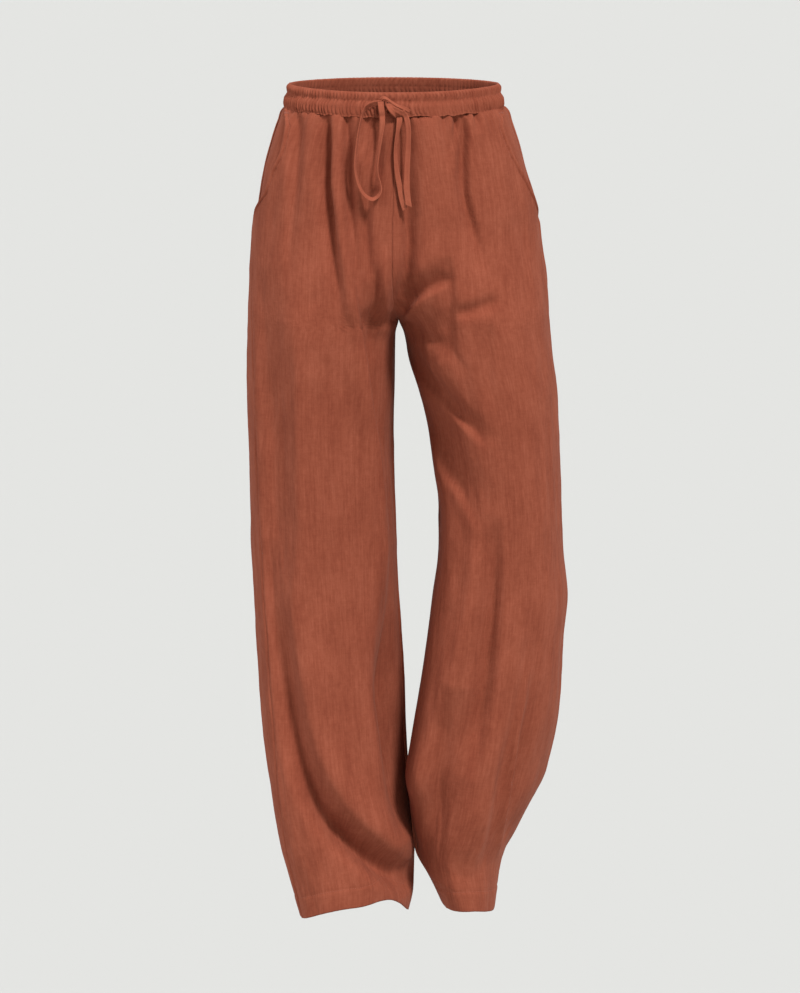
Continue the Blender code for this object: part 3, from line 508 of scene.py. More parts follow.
BACK_FOLDS = [
    # Pleats, then drags under the seat, then long folds: the right half and the left half
    Fold("right", 6, 6, [(26, -24, 1), (42, -25, 6), (82, -28, 7), (150, -33, 5), (240, -37, 0)]),
    Fold("right", 4, 8, [(26, -58, 1), (42, -59, 7), (90, -63, 8), (175, -71, 6), (310, -80, 0)]),
    Fold("right", 8, 5, [(27, -92, 1), (42, -93, 6), (100, -98, 6), (190, -109, 4),
        (320, -119, 0)]),
    Fold("right", 6, 5, [(27, -119, 1), (40, -120, 4), (80, -125, 4), (140, -131, 0)]),
    Fold("right", 13, 11, [(262, -16, 0), (305, -42, 6), (345, -82, 9), (388, -125, 6),
        (430, -155, 0)]),
    Fold("right", 11, 9, [(345, -20, 0), (388, -48, 5), (432, -90, 6), (480, -126, 0)]),
    Fold("right", 15, 12, [(430, -66, 0), (530, -76, 7), (650, -86, 10), (770, -80, 12),
        (890, -66, 13), (1050, -54, 12)]),
    Fold("right", 11, 10, [(570, -134, 0), (690, -130, 6), (820, -120, 8), (940, -106, 9),
        (1050, -92, 8)]),
    Fold("right", 10, 9, [(520, -26, 0), (640, -24, 6), (790, -18, 8), (930, -14, 8),
        (1050, -12, 6)]),
    Fold("left", 5, 7, [(26, 18, 1), (42, 19, 6), (88, 22, 7), (160, 26, 5), (255, 30, 0)]),
    Fold("left", 8, 4, [(26, 50, 1), (42, 51, 7), (95, 55, 8), (190, 63, 5), (290, 70, 0)]),
    Fold("left", 5, 8, [(27, 84, 1), (42, 85, 6), (85, 88, 7), (180, 99, 5), (340, 112, 0)]),
    Fold("left", 6, 5, [(27, 113, 1), (40, 114, 5), (88, 120, 4), (150, 128, 0)]),
    Fold("left", 13, 11, [(268, 26, 0), (308, 58, 6), (352, 98, 9), (396, 140, 6), (436, 172, 0)]),
    Fold("left", 11, 9, [(362, 52, 0), (404, 78, 6), (450, 116, 6), (500, 152, 0)]),
    Fold("left", 15, 12, [(470, 118, 0), (560, 126, 7), (670, 130, 10), (780, 124, 12),
        (890, 108, 12), (1050, 94, 11)]),
    Fold("left", 11, 10, [(540, 174, 0), (650, 178, 6), (770, 172, 8), (870, 150, 8),
        (960, 124, 6), (1050, 116, 4)]),
    Fold("left", 10, 9, [(600, 78, 0), (700, 72, 6), (800, 62, 8), (900, 56, 8), (1050, 70, 5)]),
]
FOLD_STEPS = 18

# Folds fade out at the panels' edges, over so many radians. Above the fork they fade towards the
# middle only close to it: the closer, the higher FORK_SHARPNESS is.
EDGE_EASE_INNER = 0.13
EDGE_EASE_FORK = 0.03
EDGE_EASE_OUTER = 0.16
FORK_SHARPNESS = 4

# Drawstring: x, level, lift off the front, and the turn of its width in degrees, 0 when its
# face looks forwards
TIE_WIDTH = 7.0
TIE_THICK = 1.5
TIE_STEP = 2.0
TIE_LEAST_POINTS = 6
TIE_SIDES = 24
TIE_FULLNESS = 3.4
Tie = namedtuple("Tie", "x down lift turn")
TIES = {
    "drawstring_loop": [
        Tie(-10.2, 18.0, 5.6, 15), Tie(-17, 17.2, 5.9, 25), Tie(-24, 18.0, 6.4, 35),
        Tie(-30.5, 20.5, 6.5, 50),
        Tie(-35.4, 26, 6.0, 62), Tie(-40.2, 43, 5.0, 70), Tie(-43.8, 66, 4.6, 73),
        Tie(-46.0, 92, 4.6, 73), Tie(-43, 110, 4.8, 70), Tie(-36, 124, 5.0, 62),
        Tie(-27, 130.5, 5.2, 55), Tie(-19.5, 128, 5.2, 62), Tie(-15.4, 120, 5.0, 68),
        Tie(-16.6, 111, 4.8, 72), Tie(-19.2, 102, 4.8, 72), Tie(-19.8, 88, 4.8, 68),
        Tie(-16.8, 66, 5.2, 58), Tie(-14.2, 46, 6.6, 35), Tie(-13.6, 33, 8.8, 5),
        Tie(-15.0, 22.0, 10.0, 0), Tie(-15.6, 15.5, 9.4, 0),
    ],
    "drawstring_end_a": [
        Tie(5.2, 30.8, 6.0, 0), Tie(7.0, 37, 5.5, 15), Tie(5.2, 49, 4.6, 50),
        Tie(2.0, 71, 4.4, 56), Tie(3.6, 95, 4.2, 40), Tie(7.4, 117, 3.6, 12),
        Tie(10.8, 134, 3.4, 0), Tie(13.6, 143, 3.4, 0),
    ],
    "drawstring_end_b": [
        Tie(9.4, 26.8, 8.5, -5), Tie(14.6, 33, 8.2, -15), Tie(17.4, 46, 7.2, -28),
        Tie(17.4, 66, 7.0, -30), Tie(16.0, 95, 6.8, -15), Tie(15.6, 117, 6.8, 0),
        Tie(16.8, 130, 6.6, 0), Tie(18.0, 139, 6.4, 0),
    ],
}
TIE_END_SLANTS = {"drawstring_loop": 0.0, "drawstring_end_a": 1.6, "drawstring_end_b": -2.4}
TIE_SEED = 70

# The tape: how uneven its width is, the hollow between its edges, its dents and its curl, with
# their lengths, and the cut ends
TIE_UNEVEN = 0.05
TIE_UNEVEN_LENGTH = 9.0
TIE_GROOVE = 0.52
TIE_GROOVE_HALF = 0.25
TIE_GROOVE_RUN = 0.4
TIE_DENT = 0.18
TIE_DENT_LENGTH = 6.0
TIE_CURL = 0.35
TIE_CURL_LENGTH = 16.0
TIE_END_POINTS = 5
TIE_CAP = 0.86
TIE_CAP_MIDDLE = 0.02

# The knot's strands: the arch that goes over it, the wrap round its middle and the strand that
# crosses it
KNOT_STRANDS = {
    "arch": [
        Tie(-16.0, 17.5, 3.6, 10), Tie(-15.2, 13.5, 6.5, 20), Tie(-11.6, 10.8, 9.0, 45),
        Tie(-7.6, 12.4, 10.6, 60), Tie(-2.0, 16.2, 11.2, 58), Tie(4.0, 19.8, 10.8, 50),
        Tie(10.0, 22.2, 9.6, 35), Tie(15.5, 24.6, 7.6, 20), Tie(19.5, 27.4, 5.0, 10),
    ],
    "wrap": [
        Tie(-5.5, 17.0, 5.2, 0), Tie(-5.8, 19.6, 9.4, 8), Tie(-3.6, 24.0, 11.4, 12),
        Tie(0.6, 28.8, 10.2, 12), Tie(3.6, 32.2, 6.6, 5), Tie(4.4, 33.4, 4.4, 0),
    ],
    "cross": [
        Tie(-9.0, 22.5, 6.0, 0), Tie(-4.0, 23.0, 9.4, -10), Tie(2.0, 24.6, 11.2, -14),
        Tie(7.0, 27.2, 10.4, -8), Tie(10.6, 30.0, 7.8, 0),
    ],
}
KNOT_WIDTHS = {"arch": 4.6, "wrap": 6.2, "cross": 6.2}
KNOT_THICK = 1.7
KNOT_SEED = 60
KNOT_CENTRE = (0.0, 23.2)
KNOT_HALF_SIZE = (10.0, 4.6, 5.6)
KNOT_TILT = 24.0
KNOT_LIFT = 6.4
KNOT_LUMPS = 0.10
KNOT_LUMPS_ROUND = 3
KNOT_LUMPS_ALONG = 2.2
KNOT_SIDES = 28
KNOT_ROWS = 20
KNOT_POLE = 0.02
KNOT_ROUND_UV = 4.0
KNOT_ALONG_UV = 8.0

# Linen: its finish, and the layers of its pattern with their grain across and along the cloth,
# detail, place, roughness, range, and their weight in the tone and in the bump. A place shifts the
# noise, PLACE_ALONG times as far along the cloth. The weave's weight and the whole bump follow.
LINEN_FINISH = {
    "Roughness": 0.92,
    "Specular IOR Level": 0.12,
    "Sheen Weight": 0.06,
    "Sheen Roughness": 0.5,
    "Sheen Tint": (0.95, 0.50, 0.36, 1.0),
}
Layer = namedtuple("Layer", "across along detail place rough low high tone bump")
LINEN_LAYERS = {
    "streaks": Layer(3.2, 70, 3.0, 3.0, 0.6, 0.28, 0.72, 0.24, 0.13),
    "slubs": Layer(1.3, 20, 3.0, 9.0, 0.6, 0.28, 0.72, 0.20, 0.09),
    "cross slubs": Layer(13, 2.0, 3.0, 5.0, 0.6, 0.28, 0.72, 0.11, 0.06),
    "mottle": Layer(6, 9, 4.0, 11.0, 0.65, 0.30, 0.70, 0.18, 0.16),
    "blotches": Layer(30, 75, 3.0, 7.0, 0.55, 0.30, 0.70, 0.27, 0),
    "nubs": Layer(1.5, 2.4, 1.0, 13.0, 0.5, 0.70, 0.80, 0.2, 0),
}
PLACE_ALONG = 1.7
WEAVE_BUMP = 0.02
LINEN_BUMP = 0.55

# Colours, linear: dark, middle and light of a linen with its thread pitch, their places in its
# range of tones, and the sewing thread, with its darker and lighter grains and their fineness
CLOTH_COLOURS = ((0.209, 0.0475, 0.0245), (0.255, 0.0635, 0.0333), (0.306, 0.082, 0.045))
CLOTH_PITCH = 0.55
TAPE_COLOURS = ((0.255, 0.061, 0.032), (0.305, 0.079, 0.042), (0.355, 0.098, 0.054))
TAPE_PITCH = 0.5
COLOUR_PLACES = (0.20, 0.50, 0.80)
THREAD_FINISH = {"Roughness": 0.7, "Sheen Weight": 0.05}
THREAD_COLOUR = (0.28, 0.074, 0.039)
THREAD_SHADES = (0.75, 1.2)
THREAD_GRAIN = 900.0

# Cuts in metres: the pockets' widths and length
FACING_CUT = (0.075, 0.235)
BAG_CUT = (0.040, 0.235)


def eased(share):
    """0 to 1 with a soft start and end."""
    share = np.clip(share, 0.0, 1.0)
    return share * share * (3.0 - 2.0 * share)


def ramp(at, start, run):
    """0 up to the start and 1 a run beyond it, soft at both ends. A negative run goes back."""
    return eased((at - start) / run)


def bell(apart, reach):
    """1 on a line, fading to both sides of it, and down to about a third at its reach."""
    return np.exp(-(apart / reach) ** 2)


def squared(wave, fullness):
    """A sine or cosine made fuller: its power is 2 over the fullness, and its sign stays."""
    return np.sign(wave) * np.abs(wave) ** (2.0 / fullness)


def unit(vectors):
    """Vectors made 1 long."""
    return vectors / np.linalg.norm(vectors, axis=-1, keepdims=True)


def steps_along(points):
    """Length of each step along a line of points."""
    return np.linalg.norm(np.diff(points, axis=0), axis=-1)


def run_along(points):
    """Distance along a line of points, from 0 at its first."""
    return np.concatenate([[0.0], np.cumsum(steps_along(points))])


def spaced(ends, counts):
    """A column of places in stretches: so many from each end on to the next, and the last end."""
    parts = [np.linspace(start, end, count, endpoint=False)
             for start, end, count in zip(ends, ends[1:], counts)]
    return np.concatenate([*parts, ends[-1:]])[:, None]


def cubic(values, tangent, row, share, run=1.0):
    """Cubic from one value to the next, with a given slope at each of them."""
    start = values[row] * (1 + 2 * share) * (1 - share) ** 2
    end = values[row + 1] * share ** 2 * (3 - 2 * share)
    bend = run * share * (1 - share) * (tangent[row] * (1 - share) - tangent[row + 1] * share)
    return start + end + bend


def through(stations, values, at):
    """Smooth curve through one column of a table, which never swings past its rows."""
    stations = np.asarray(stations, dtype=float)
    values = np.asarray(values, dtype=float)
    step = np.diff(stations)
    slope = np.diff(values) / step
    tangent = np.zeros(len(values))
    tangent[0] = slope[0]
    tangent[-1] = slope[-1]
    product = slope[:-1] * slope[1:]
    total = slope[:-1] + slope[1:]
    same_way = product > 0
    tangent[1:-1][same_way] = 2.0 * product[same_way] / total[same_way]
    at = np.asarray(at, dtype=float)
    row = np.clip(np.searchsorted(stations, at, side="right") - 1, 0, len(step) - 1)
    share = np.clip((at - stations[row]) / step[row], 0.0, 1.0)
    return cubic(values, tangent, row, share, step[row])


def smooth_path(values, count):
    """Catmull-Rom curve through a column of a path's points, read at even steps."""
    values = np.asarray(values, dtype=float)
    fine = np.linspace(0, len(values) - 1, count)
    tangent = np.gradient(values)
    row = np.clip(fine.astype(int), 0, len(values) - 2)
    return cubic(values, tangent, row, fine - row)


def column(table, name, at):
    """One named column of a table of rows that start with their level, at some levels."""
    stations = [row.down for row in table]
    values = [getattr(row, name) for row in table]
    return through(stations, values, at)


def outward(half):
    """+1 on the left half and -1 on the right half."""
    return 1.0 if half == "left" else -1.0


def inner_side(half, down):
    """x of the middle of the body above the crotch, and of the leg's inner side below it."""
    above = column(MIDDLE, "x", np.minimum(down, CROTCH))
    below = column(INNER[half], "x", np.maximum(down, CROTCH))
    return np.where(down < CROTCH, above, below)


def closing(down):
    """0 where a half's arc ends at the body's widest plane, 1 where it closes at the inseam. Its
    last part is rounded off, so that the cloth bends into the legs without a crease."""
    near = 1.0 - np.clip((CROTCH - down) / (CROTCH - SEAT_TOP), 0.0, 1.0)
    start = FORK_ROUNDING ** SEAT_EASE
    slope = SEAT_EASE * FORK_ROUNDING ** (SEAT_EASE - 1) * (1 - FORK_ROUNDING)
    share = np.clip((near - FORK_ROUNDING) / (1 - FORK_ROUNDING), 0.0, 1.0)
    rounded = start + (1 - start) * eased(share) + slope * share * (1 - share) ** 2
    return np.where(near > FORK_ROUNDING, rounded, near ** SEAT_EASE)


def last_turn(down):
    """The turn at which the arc reaches the middle of the body, or the inseam."""
    return np.arccos(-closing(down) ** (FULLNESS / 2.0))


def seam_turn(half, down):
    """The turn of the side seam."""
    return np.radians(column(LEVELS[half], "seam", down))


def mouth_turn(half, down):
    """The turn of the front panel's outer edge: the pocket mouth, and the side seam below."""
    share = np.clip((down - BAND_HEIGHT) / (POCKET_END - BAND_HEIGHT), 0, 1)
    hangs = MOUTH_SAG[half] * np.sin(math.pi * share ** MOUTH_SAG_HIGH) ** MOUTH_SAG_ROUND
    mouth = np.radians(column(MOUTH, half, np.minimum(down, POCKET_END)) + hangs)
    return np.where(down < POCKET_END, mouth, seam_turn(half, down))


def rim_height(forward):
    """How far the rim stands above the origin: higher behind and lower in front."""
    return (RIM_BACK_RISE * np.clip(-forward, 0, 1) ** 2
            - RIM_FRONT_DIP * np.clip(forward, 0, 1) ** 2)


def section(half, turn, down):
    """Points of the smooth garment, before its folds: an arc of a rounded ellipse."""
    turn, down = np.broadcast_arrays(turn, down)
    side = outward(half)
    table = LEVELS[half]
    inner = inner_side(half, down)
    span = np.abs(column(table, "outer", down) - inner)
    share = closing(down)
    half_width = span / (1 + share)
    middle = inner + side * share * half_width
    front = column(table, "front", down)
    back = column(table, "back", down)
    across = squared(np.cos(turn), FULLNESS)
    forward = squared(np.sin(turn), FULLNESS)
    x = middle + side * half_width * across
    y = (front + back) / 2 - (back - front) / 2 * forward
    y = y - column(table, "lean", down) * np.cos(turn)
    toward_front = np.clip(forward, 0, 1) ** 2
    toward_back = np.clip(-forward, 0, 1) ** 2
    toward_outside = np.clip(across, 0, 1) ** 2
    toward_inside = np.clip(-across, 0, 1) ** 2
    hem = HEMS[half]
    slant = (hem.front * toward_front + hem.back * toward_back
             + hem.outer * toward_outside + hem.inner * toward_inside
             + hem.arch * 4 * toward_front * toward_inside)
    low = ramp(down, HEM_SLANT_START, hem.down - HEM_SLANT_START)
    high = 1 - ramp(down, BAND_HEIGHT, DIP_END - BAND_HEIGHT)
    z = -down + slant * low + rim_height(forward) * high
    return np.stack([x, y, z], axis=-1)


def step_around(half, turn, down):
    """A short step round the smooth garment, towards higher turns."""
    return section(half, turn + BESIDE_TURN, down) - section(half, turn - BESIDE_TURN, down)


def facing_out(half, turn, down):
    """Level directions out of the smooth garment: of length 1, and shorter in the fork, where
    the cloth faces down."""
    turn, down = np.broadcast_arrays(turn, down)
    along = section(half, turn, down + BESIDE_DOWN) - section(half, turn, down - BESIDE_DOWN)
    normal = unit(np.cross(step_around(half, turn, down), along) * outward(half))
    normal[..., 2] = 0.0
    level = np.linalg.norm(normal, axis=-1, keepdims=True)
    return normal / np.maximum(level, LEAST_LEVEL)


def arc_speed(half, turn, down):
    """Millimetres of cloth to a radian of turn."""
    return np.linalg.norm(step_around(half, turn, down), axis=-1) / (2 * BESIDE_TURN)


def seen_rise(row, y):
    """How far above the camera's target the plane at y is where a row of the picture shows it."""
    pitch = math.radians(CAMERA_PITCH)
    away = CAMERA_DISTANCE / MM
    slope = (PICTURE_MIDDLE[1] - row) * PICTURE_SCALE / away
    rise = slope * (away + y * math.cos(pitch)) - y * math.sin(pitch)
    return rise / (math.cos(pitch) + slope * math.sin(pitch))


def picture_place(across, row):
    """Level and x, in whole millimetres, of what shows at a point of the picture: there the line
    of sight meets the folds' plane."""
    pitch = math.radians(CAMERA_PITCH)
    away = CAMERA_DISTANCE / MM
    rise = seen_rise(row, FOLD_PLANE)
    distance = away + FOLD_PLANE * math.cos(pitch) - rise * math.sin(pitch)
    x = CAMERA_TARGET[0] / MM + (across - PICTURE_MIDDLE[0]) * PICTURE_SCALE * distance / away
    return round(seen_rise(PICTURE_WAIST_ROW, 0.0) - rise), round(x)


def front_fold(fold):
    """A front fold with its line as level, x and depth."""
    return fold._replace(line=[(*picture_place(across, row), depth)
                               for across, row, depth in fold.line])


def fold_line(fold):
    """A fold's line as level, x and depth, with more rows than its table has."""
    rows = np.array(fold.line, dtype=float)
    places = np.arange(len(rows))
    fine = np.linspace(0, len(rows) - 1, FOLD_STEPS)
    return np.stack([through(places, rows[:, k], fine) for k in range(3)], axis=-1)


def fold_depth(fold, half, x, z):
    """Depth that one fold gives: a bell across its line, wider on one side of it."""
    line = fold_line(fold)
    nearest_squared = np.full(x.shape, np.inf)
    depth = np.zeros(x.shape)
    beyond = np.zeros(x.shape)
    side = outward("left" if fold.half == "both" else half)
    for (down_0, x_0, depth_0), (down_1, x_1, depth_1) in zip(line, line[1:]):
        run_x = x_1 - x_0
        run_z = down_0 - down_1
        length_squared = run_x ** 2 + run_z ** 2
        along = ((x - x_0) * run_x + (z + down_0) * run_z) / length_squared
        along = np.clip(along, 0, 1)
        off_x = x - x_0 - along * run_x
        off_z = z + down_0 - along * run_z
        apart_squared = off_x ** 2 + off_z ** 2
        closer = apart_squared < nearest_squared
        nearest_squared = np.where(closer, apart_squared, nearest_squared)
        depth = np.where(closer, depth_0 + along * (depth_1 - depth_0), depth)
        cross = (off_z * run_x - off_x * run_z) * side * np.sign(run_z)
        beyond = np.where(closer, -cross / np.sqrt(length_squared), beyond)
    share = eased(0.5 + beyond / (fold.outer + fold.inner))
    width = fold.inner + (fold.outer - fold.inner) * share
    return depth * np.exp(-nearest_squared / (2 * width ** 2))


def below_fork(down):
    """How far below the fork a place is: 0 at the fork, 1 from FORK_RUN below it on."""
    return ramp(down, CROTCH, FORK_RUN)


def sunk(half, turn, down):
    """Depth of all folds together, fading out at the side seam and the inseam."""
    place = section(half, turn, down)
    in_front = turn > seam_turn(half, down)
    total = np.zeros(turn.shape)
    front_folds = [front_fold(fold) for fold in FRONT_FOLDS]
    for folds, here in ((front_folds, in_front), (BACK_FOLDS, ~in_front)):
        for fold in folds:
            if fold.half in (half, "both"):
                depth = fold_depth(fold, half, place[..., 0], place[..., 2])
                total = total + np.where(here, depth, 0.0)
    from_seam = np.abs(turn - seam_turn(half, down))
    from_inseam = last_turn(down) - np.abs(turn)
    closed = closing(down) ** FORK_SHARPNESS
    total = total * eased(from_seam / EDGE_EASE_OUTER)
    ease = EDGE_EASE_FORK + (EDGE_EASE_INNER - EDGE_EASE_FORK) * below_fork(down)
    return total * (1 - closed * (1 - eased(from_inseam / ease)))


def soft_noise(across, along, seed):
    """Smooth noise between -1 and 1: random heights a unit apart, joined by eased steps."""
    table = np.random.default_rng(seed).uniform(-1, 1, (NOISE_CELLS, NOISE_CELLS))
    left = np.floor(across).astype(int)
    top = np.floor(along).astype(int)
    part_x = eased(across - left)
    part_y = eased(along - top)
    heights = []
    for row in (top % NOISE_CELLS, (top + 1) % NOISE_CELLS):
        before = table[row, left % NOISE_CELLS] * (1 - part_x)
        heights.append(before + table[row, (left + 1) % NOISE_CELLS] * part_x)
    return heights[0] * (1 - part_y) + heights[1] * part_y


def rumples(across, along, seed):
    """Small unevenness that linen keeps: three sizes of soft noise, longer than wide."""
    broad, middle, small = RUMPLES
    first = soft_noise(across / broad.wide, along / broad.long, seed)
    wandering = across / middle.wide + RUMPLE_WANDER * first
    second = soft_noise(wandering, along / middle.long, seed + 1)
    third = soft_noise(across / small.wide, along / small.long, seed + 2)
    return broad.depth * first + middle.depth * second + small.depth * third


def gather_wave(across, count, seed):
    """Uneven gathers round the waist, as their height and their length: rounded crests, narrow
    valleys, and each one's own width, strength and length."""
    rng = np.random.default_rng(seed)
    edges = np.cumsum(rng.uniform(*GATHER_WIDTHS, count))
    edges = np.concatenate([[0.0], edges]) / edges[-1] * 2 * math.pi
    numbers = np.arange(count + 1)
    number = np.interp(np.mod(across, 2 * math.pi), edges, numbers)
    crest = np.sqrt(np.cos(math.pi * (number + 0.5)) ** 2 + GATHER_ROUNDING)
    strength = rng.uniform(*GATHER_STRENGTHS, count + 1)
    strength[-1] = strength[0]
    length = rng.uniform(*GATHER_LENGTHS, count + 1)
    length[-1] = length[0]
    return crest * np.interp(number, numbers, strength), np.interp(number, numbers, length)


def round_waist(half, turn):
    """A turn of one half as the angle round the whole waist, 0 at the left side."""
    return turn if half == "left" else math.pi - turn


def under_waistband(half, turn, down):
    """What the waistband does to the cloth below it: small pits at its seam, and gathers that
    swell between them and run out downwards."""
    angle = round_waist(half, turn)
    below = np.maximum(down - BAND_HEIGHT, 0)
    pit = soft_noise(angle * PANEL_RADIUS / PIT_WIDTH, 0 * down, PIT_SEED) - PIT_LEVEL
    wave, length = gather_wave(angle, PANEL_GATHERS, PANEL_GATHER_SEED)
    swell = (wave - GATHER_LEVEL) * np.exp(-below / (GATHER_REACH * length))
    return PIT_DEPTH * np.clip(pit, 0, 1) * np.exp(-below / PIT_REACH) - GATHER_SWELL * swell


def mouth_dip(half, from_seam, down):
    """How far the cloth by the side seam sinks in beside the pocket mouth, up to a small step."""
    starts = ramp(down, BAND_HEIGHT + MOUTH_DIP_TOP, MOUTH_DIP_START)
    ends = ramp(down, POCKET_END - MOUTH_DIP_BOTTOM, MOUTH_DIP_END)
    return MOUTH_DIP[half] * starts * (1 - ends) * bell(from_seam, MOUTH_DIP_REACH)


def mouth_edge(from_mouth, down, seed):
    """The front panel's edge at the pocket mouth: its stitching draws the cloth in, with small
    drags, the edge itself rolls in, and both lift off the facing."""
    in_mouth = 1 - ramp(down, POCKET_END - MOUTH_FADE, MOUTH_FADE)
    drags = soft_noise(down / MOUTH_DRAG_LENGTH, from_mouth / MOUTH_DRAG_WIDTH, seed)
    drag = 1 + MOUTH_DRAG * drags
    stitched = MOUTH_STITCH_DEPTH * bell(from_mouth - MOUTH_STITCH, MOUTH_STITCH_WIDTH) * drag
    rolled = MOUTH_EDGE_DEPTH * bell(from_mouth, MOUTH_EDGE_WIDTH)
    return in_mouth * (stitched + rolled - MOUTH_LIFT * bell(from_mouth, MOUTH_LIFT_REACH))


def hem_depth(half, across, down, seed):
    """The doubled hem stands out, and its stitching draws the cloth in unevenly."""
    above_hem = HEMS[half].down - down
    doubled = ramp(above_hem, HEM_DEPTH + HEM_BLEND, -2 * HEM_BLEND)
    uneven = 1 + HEM_UNEVEN * soft_noise(across / HEM_UNEVEN_LENGTH, down * 0, seed)
    stitched = HEM_STITCH_DEPTH * bell(above_hem - HEM_DEPTH, HEM_STITCH_WIDTH) * uneven
    return stitched - HEM_STANDS_OUT * doubled


def leg_depth(half, face, turn, down):
    """How far the finished cloth of a leg panel lies inward of the smooth garment."""
    seed = PANEL_SEEDS[half, face]
    speed = arc_speed(half, turn, down)
    across = turn * PANEL_RADIUS
    past_seam = (turn - seam_turn(half, down)) * speed
    from_last = np.abs(last_turn(down) - np.abs(turn)) * speed
    calm = RUMPLE_CALM + (1 - RUMPLE_CALM) * ramp(down, RUMPLE_TOP, RUMPLE_RUN)
    calm = calm * np.where(down < CROTCH, eased(from_last / CENTRE_CALM), 1.0)
    depth = sunk(half, turn, down) + rumples(across, down, seed) * calm
    depth = depth + under_waistband(half, turn, down)
    groove = bell(past_seam, SEAM_GROOVE_WIDTH)
    if face == "front":
        groove = groove * ramp(down, POCKET_END, SEAM_START)
        depth = depth + mouth_edge((turn - mouth_turn(half, down)) * speed, down, seed + 5)
    else:
        depth = depth + mouth_dip(half, past_seam, down)
        depth = depth + SEAM_LAP_DEPTH * eased(past_seam / SEAM_LAP + LAP_AT_SEAM)
    centre = np.where(down < CROTCH, CENTRE_GROOVE, 1.0)
    groove = groove + centre * bell(from_last, SEAM_GROOVE_WIDTH)
    pucker = 1 + PUCKER * soft_noise(down / PUCKER_LENGTH, down * 0, seed + 3)
    depth = depth + SEAM_GROOVE * groove * pucker
    depth = depth + hem_depth(half, across, down, seed + 4)
    under_band = ramp(down, BAND_HEIGHT + UNDER_BAND_BLEND, -2 * UNDER_BAND_BLEND)
    return depth + UNDER_BAND_DEPTH * under_band


def leg_cloth(half, face, turn, down):
    """Points of a leg panel's outer face: the smooth garment's, moved in by the cloth's depth.
    By the centre seam and the inseam they move straight back or forwards, so that both halves
    meet, and above the fork neither half passes the middle."""
    turn, down = np.broadcast_arrays(turn, down)
    way = facing_out(half, turn, down)
    straight = np.array([0.0, -1.0 if face == "front" else 1.0, 0.0])
    from_last = np.abs(last_turn(down) - np.abs(turn)) * arc_speed(half, turn, down)
    under = below_fork(down)
    held = 1 + ((INSEAM_HOLD if face == "front" else 0.0) - 1) * under
    joined = held * bell(from_last, CENTRE_REACH + (INSEAM_REACH - CENTRE_REACH) * under)
    way = way + (straight - way) * joined[..., None]
    points = section(half, turn, down) - way * leg_depth(half, face, turn, down)[..., None]
    side = outward(half)
    beside = side * (points[..., 0] - inner_side(half, down))
    kept_apart = inner_side(half, down) + side * np.maximum(beside, 0.0)
    points[..., 0] = np.where(down < CROTCH, kept_apart, points[..., 0])
    return points


def grid_faces(rows, columns, closed_across=False, closed_along=False):
    """Quads of a grid of points, as one array."""
    row = np.arange(rows if closed_along else rows - 1)[:, None]
    place = np.arange(columns if closed_across else columns - 1)[None, :]
    after = (place + 1) % columns
    below = (row + 1) % rows
    quads = [row * columns + place, row * columns + after,
             below * columns + after, below * columns + place]
    quads = [np.broadcast_to(quad, (row.shape[0], place.shape[1])) for quad in quads]
    return np.stack(quads, axis=-1).reshape(-1, 4)


def place_object(name, data):
    """A new object in the scene, unmoved."""
    thing = bpy.data.objects.new(name, data)
    bpy.context.scene.collection.objects.link(thing)
    return thing


def make_mesh(name, points, faces, uv, material):
    """A smooth-shaded piece from points in millimetres, quads, and a UV place for each point."""
    mesh = bpy.data.meshes.new(name)
    points = np.asarray(points, dtype=np.float32) * MM
    mesh.vertices.add(len(points))
    mesh.vertices.foreach_set("co", points.ravel())
    faces = np.asarray(faces, dtype=np.int32)
    corners = faces.shape[1]
    mesh.loops.add(faces.size)
    mesh.polygons.add(len(faces))
    mesh.loops.foreach_set("vertex_index", faces.ravel())
    mesh.polygons.foreach_set("loop_start", np.arange(len(faces), dtype=np.int32) * corners)
    mesh.polygons.foreach_set("loop_total", np.full(len(faces), corners, dtype=np.int32))
    mesh.update(calc_edges=True)
    layer = mesh.uv_layers.new(name="UVMap")
    layer.data.foreach_set("uv", (np.asarray(uv)[faces.ravel()] * MM).astype(np.float32).ravel())
    mesh.polygons.foreach_set("use_smooth", np.ones(len(faces), dtype=bool))
    mesh.validate()
    mesh.materials.append(material)
    piece = place_object(name, mesh)
    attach(piece, "root")
    return piece


def grid_normals(points):
    """Unit normals of a grid of points."""
    along, across = np.gradient(points, axis=(0, 1))
    return unit(np.cross(across, along))


def cloth_places(points, middle):
    """UV places of a grid of points, in millimetres of cloth. The grain runs straight down the
    middle of the piece, whose x is given for each row."""
    across = np.linalg.norm(np.diff(points, axis=1), axis=-1)
    across = np.concatenate([np.zeros((len(points), 1)), np.cumsum(across, axis=1)], axis=1)
    apart = points[..., 0] - middle
    nearest = np.abs(apart).argmin(axis=1)[:, None]
    way = np.sign(points[:, -1:, 0] - points[:, :1, 0])
    first = np.take_along_axis(across - way * apart, nearest, axis=1)
    across = across - first
    along = np.linalg.norm(np.diff(points, axis=0), axis=-1).mean(axis=1)
    along = np.concatenate([[0.0], np.cumsum(along)])
    return np.stack([across, np.broadcast_to(along[:, None], across.shape)], axis=-1)


